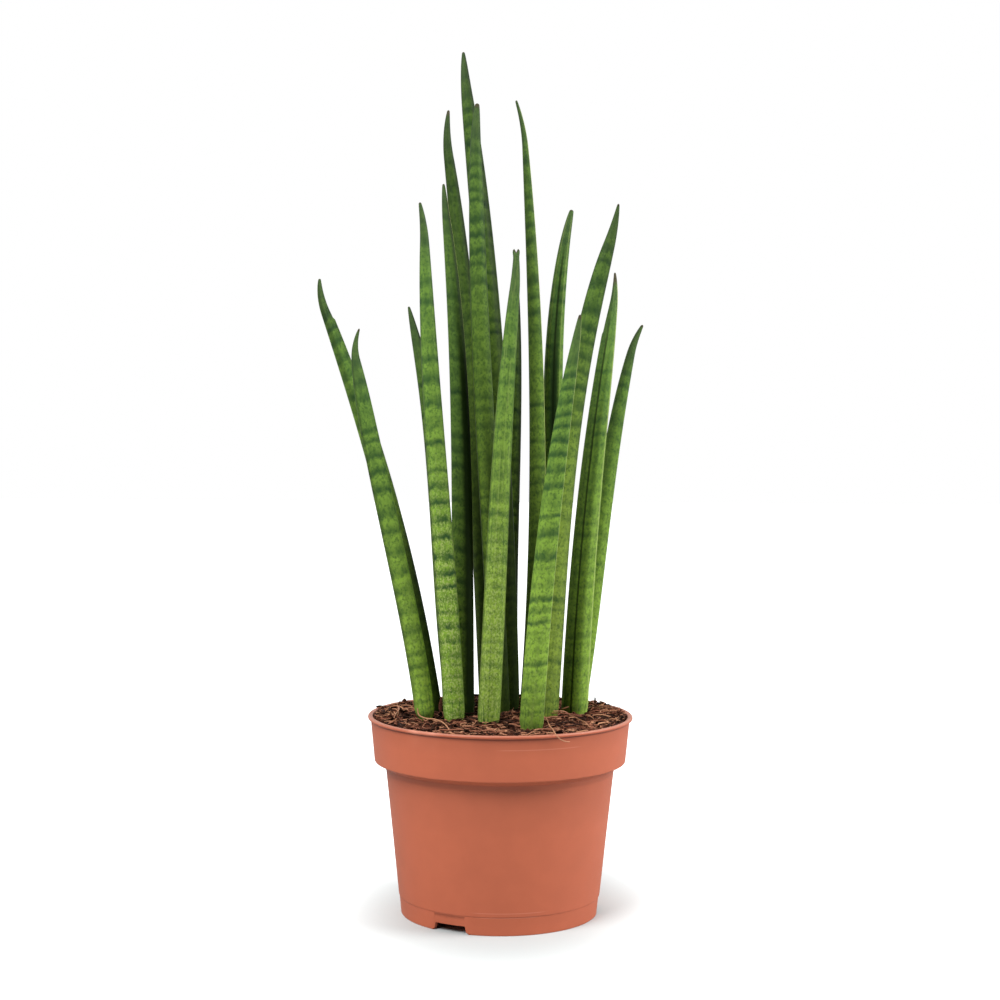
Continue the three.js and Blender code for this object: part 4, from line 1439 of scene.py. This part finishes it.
def skin_values(number, settings, shares, heights, turn, radii):
    """What the skin reads at each point of a leaf's rings and at the two points that close them,
    which take the values of their ring's first point. The bands are read at a height lowered by the
    arch times the cosine and the slant times the sine of the turn from the back, which makes them
    rise there."""
    leaf = LEAVES[number - 1]
    up = shares[:, None] * leaf_length(leaf)
    raised = leaf["arch"] * np.cos(turn - np.pi) + leaf["slant"] * np.sin(turn - np.pi)
    phase, strength = band_values(leaf, number, heights[:, None] - MM * raised, settings)
    off_middle = np.abs(np.degrees(turn))
    grids = {
        "phase": phase,
        "strength": strength,
        "share": shares[:, None],
        "below_point": (1 - shares[:, None]) * leaf_length(leaf),
        "from_line": np.radians(off_middle - leaf["line"]) * radii,
        "from_middle": np.radians(off_middle) * radii,
        # Painted shade on the leaf's dark sides and flanks
        "painted_shade": leaf_painted_shade(leaf, shares, turn),
        # Partly painted light and shade along the leaf, from its tones
        "lightness": np.interp(shares, *np.array(leaf["tones"], float).T)[:, None],
    }
    order = np.append(np.arange(radii.size), [0, radii.size - len(turn)])
    values = {key: np.broadcast_to(grid, radii.shape).ravel()[order] for key, grid in grids.items()}
    level = np.broadcast_to(up + SKIN_OFFSET * number, radii.shape)[..., None]
    straight = np.concatenate([radii[..., None] * around(turn), level], -1)
    return {**values, "straight": straight.reshape(-1, 3)[order]}


def build_leaf(number, settings):
    """One leaf: rings across its spine, closed on one point at each end. Columns crowd into the
    channel, turn = u - 0.35 * sin(u), and rows crowd towards the point, share = 1 - (1 - v) ^ 1.5. A
    notch lowers the point and leaves two horns, which rise by the squared sine of the turn and
    spread apart by its cube, times exp(-(distance below the point / reach) ^ 2)."""
    leaf = LEAVES[number - 1]
    straight = leaf_length(leaf)
    v = np.linspace(0, 1, settings.rows)
    in_soil = np.array([-1, -0.4]) * BURIED / straight
    shares = np.concatenate([in_soil, 1 - (1 - v) ** ROW_CROWDING])
    u = np.linspace(-np.pi, np.pi, settings.sides, endpoint=False)
    turn = u - COLUMN_CROWDING * np.sin(u)
    centres = spine(leaf, shares)
    heights = centres[:, 2]
    tangents, towards, across = leaf_axes(leaf, shares)
    radii = leaf_radii(leaf, shares, heights, turn)
    depth = leaf["notch"] * MM
    horns = depth * bell((1 - shares) * straight, NOTCH_REACH)[:, None] * np.sin(turn) ** 2
    outward = radii * np.cos(turn)
    aside = (radii + HORN_SPREAD * horns) * np.sin(turn)
    rings = centres[:, None]
    for reach, axis in ((outward, towards), (aside, across), (horns, tangents)):
        rings = rings + reach[..., None] * axis[:, None]
    points = np.concatenate([rings.reshape(-1, 3), [centres[0], centres[-1] - depth * tangents[-1]]])
    name = f"leaf_{number:02d}"
    make_piece(
        f"mikado_{name}",
        points,
        capped_grid(*radii.shape),
        leaf_material(f"Skin of {name}", settings, leaf),
        [name],
        skin_values(number, settings, shares, heights, turn, radii),
    )


# Stage


def build_floor(settings):
    """A white floor. What the camera sees of it glows, by a smooth step of the distance from the
    pot's axis, so that it is grey only near the pot."""
    floor_mesh = bpy.data.meshes.new("floor")
    half = FLOOR_WIDTH / 2
    corners = [(-half, -half, 0), (half, -half, 0), (half, half, 0), (-half, half, 0)]
    floor_mesh.from_pydata(corners, [], [(0, 1, 2, 3)])
    floor = add_object("floor", floor_mesh)
    material, tree, shader = new_material("White floor", 0.9, 0.1)
    seen = add_node(tree, "ShaderNodeLightPath").outputs["Is Camera Ray"]
    bounced = scaled((1, 1, 1), settings.floor_bounce)
    whiteness = add_mix(tree, seen, bounced, scaled(FLOOR_TINT, FLOOR_WHITENESS))
    tree.links.new(whiteness, shader.inputs["Base Color"])
    shader.inputs["Emission Color"].default_value = (1, 1, 1, 1)
    away = add_node(tree, "ShaderNodeTexCoord").outputs["Object"]
    for operation, other in (("SUBTRACT", POT_AXIS), ("MULTIPLY", FLOOR_SHADE), ("LENGTH", POT_AXIS)):
        away = add_node(tree, "ShaderNodeVectorMath", {0: away, 1: other}, operation=operation)
        away = away.outputs["Value" if operation == "LENGTH" else "Vector"]
    glow = add_range(tree, away, FLOOR_SHADE_FROM, FLOOR_SHADE_TO, settings.floor_glow, 1.0)
    tree.links.new(add_product(tree, seen, glow), shader.inputs["Emission Strength"])
    floor_mesh.materials.append(material)


def build_surround(settings):
    """A surround that is bright behind the plant and dim on the camera's side, by a smooth step of
    the direction's depth. The camera sees it at least at full strength."""
    world = bpy.data.worlds.new("White surround")
    world.use_nodes = True
    tree = world.node_tree
    background = tree.nodes["Background"]
    background.inputs["Color"].default_value = (1, 1, 1, 1)
    direction = add_node(tree, "ShaderNodeTexCoord").outputs["Generated"]
    backward = add_node(tree, "ShaderNodeSeparateXYZ", {0: direction}).outputs["Y"]
    dim, bright = settings.front_fill, settings.back_fill
    fill = add_range(tree, backward, -SURROUND_TURN, SURROUND_TURN, dim, bright)
    seen = add_node(tree, "ShaderNodeLightPath").outputs["Is Camera Ray"]
    tree.links.new(add_math(tree, "MAXIMUM", seen, fill), background.inputs["Strength"])
    bpy.context.scene.world = world


def build_lights(settings):
    """Soft round lights, each at its two angles from the aim and turned to face it."""
    aim = Vector((POT_AXIS[0], POT_AXIS[1], SOFT_LIGHT_AIM))
    for round_to, up, power in SOFT_LIGHTS:
        light = bpy.data.lights.new("Soft light", "AREA")
        light.shape = "DISK"
        light.size = SOFT_LIGHT_WIDTH
        light.energy = power * settings.soft_light
        turn, rise = math.radians(round_to), math.radians(up)
        level = math.cos(rise)
        away = Vector((math.sin(turn) * level, -math.cos(turn) * level, math.sin(rise)))
        stand = add_object("Soft light", light)
        stand.location = aim + SOFT_LIGHT_DISTANCE * away
        stand.rotation_euler = away.to_track_quat("Z", "Y").to_euler()


def build_camera(settings):
    """The camera, level from left to right, then tilted down and rolled by its two angles: the
    cosine of each along one axis and its sine along the other."""
    camera = bpy.data.cameras.new("Camera")
    camera.sensor_width = SENSOR_WIDTH
    camera.lens = settings.lens
    camera.clip_end = SIGHT
    eye = add_object("Camera", camera)
    down, roll = settings.look_down, settings.roll
    level_right = Vector((1, 0, 0))
    level_up = Vector((0, math.sin(down), math.cos(down)))
    ahead = Vector((0, math.cos(down), -math.sin(down)))
    right = math.cos(roll) * level_right + math.sin(roll) * level_up
    up = math.cos(roll) * level_up - math.sin(roll) * level_right
    place = Vector((POT_AXIS[0] + CAMERA_ASIDE, POT_AXIS[1] - settings.distance, settings.height))
    eye.matrix_world = Matrix.Translation(place) @ Matrix((right, up, -ahead)).transposed().to_4x4()
    bpy.context.scene.camera = eye
    bpy.context.scene.view_settings.view_transform = "Standard"


def build_stage(settings):
    """The floor, the surround, the lights and the camera."""
    for build in (build_floor, build_surround, build_lights, build_camera):
        build(settings)


# Operators and panel


class PLANT_OT_stage(Operator):
    """Set up the floor, the lights and the camera"""

    bl_idname = "plant.stage"
    bl_label = "Stage"

    def execute(self, context):
        build_stage(context.scene.plant_stage)
        return {"FINISHED"}


class PLANT_OT_pot(Operator):
    """Build the plastic pot"""

    bl_idname = "plant.pot"
    bl_label = "Pot"

    def execute(self, context):
        build_pot(context.scene.plant_pot)
        return {"FINISHED"}


class PLANT_OT_soil(Operator):
    """Build the bed of soil"""

    bl_idname = "plant.soil"
    bl_label = "Soil"

    def execute(self, context):
        build_soil(context.scene.plant_soil)
        return {"FINISHED"}


class PLANT_OT_litter(Operator):
    """Scatter crumbs, fibres, strands and bark on the soil"""

    bl_idname = "plant.litter"
    bl_label = "Crumbs and Fibres"

    def execute(self, context):
        settings = context.scene.plant_soil
        for build in (build_crumbs, build_fibres, build_strands, build_chips):
            build(settings)
        return {"FINISHED"}


class PLANT_OT_leaves(Operator):
    """Build every leaf"""

    bl_idname = "plant.leaves"
    bl_label = "Leaves"

    def execute(self, context):
        for number in range(1, len(LEAVES) + 1):
            build_leaf(number, context.scene.plant_leaf)
        return {"FINISHED"}


class PLANT_PT_panel(Panel):
    """The sizes, the colours and the steps that build the plant"""

    bl_idname = "PLANT_PT_panel"
    bl_label = "Snake Plant"
    bl_space_type = "VIEW_3D"
    bl_region_type = "UI"
    bl_category = "Snake Plant"

    def draw(self, context):
        for settings, operators in STEPS.items():
            box = self.layout.box()
            group = getattr(context.scene, settings)
            for key in group.bl_rna.properties.keys():
                if key not in ("rna_type", "name"):
                    box.prop(group, key)
            for operator in operators:
                box.operator(operator.bl_idname)


SETTINGS = {
    "plant_stage": StageSettings,
    "plant_pot": PotSettings,
    "plant_soil": SoilSettings,
    "plant_leaf": LeafSettings,
}
STEPS = {
    "plant_stage": [PLANT_OT_stage],
    "plant_pot": [PLANT_OT_pot],
    "plant_soil": [PLANT_OT_soil, PLANT_OT_litter],
    "plant_leaf": [PLANT_OT_leaves],
}
OPERATORS = [operator for step in STEPS.values() for operator in step]
CLASSES = [*SETTINGS.values(), *OPERATORS, PLANT_PT_panel]


def register():
    """Adds the classes and gives the scene each group of settings."""
    for each in CLASSES:
        bpy.utils.register_class(each)
    for name, group in SETTINGS.items():
        setattr(bpy.types.Scene, name, PointerProperty(type=group))


def unregister():
    """Takes away what register adds."""
    for name in SETTINGS:
        delattr(bpy.types.Scene, name)
    for each in reversed(CLASSES):
        bpy.utils.unregister_class(each)


def main():
    """Builds everything in order."""
    register()
    bpy.ops.plant.stage()
    bpy.ops.plant.pot()
    bpy.ops.plant.soil()
    bpy.ops.plant.litter()
    bpy.ops.plant.leaves()


if __name__ == "__main__":
    main()
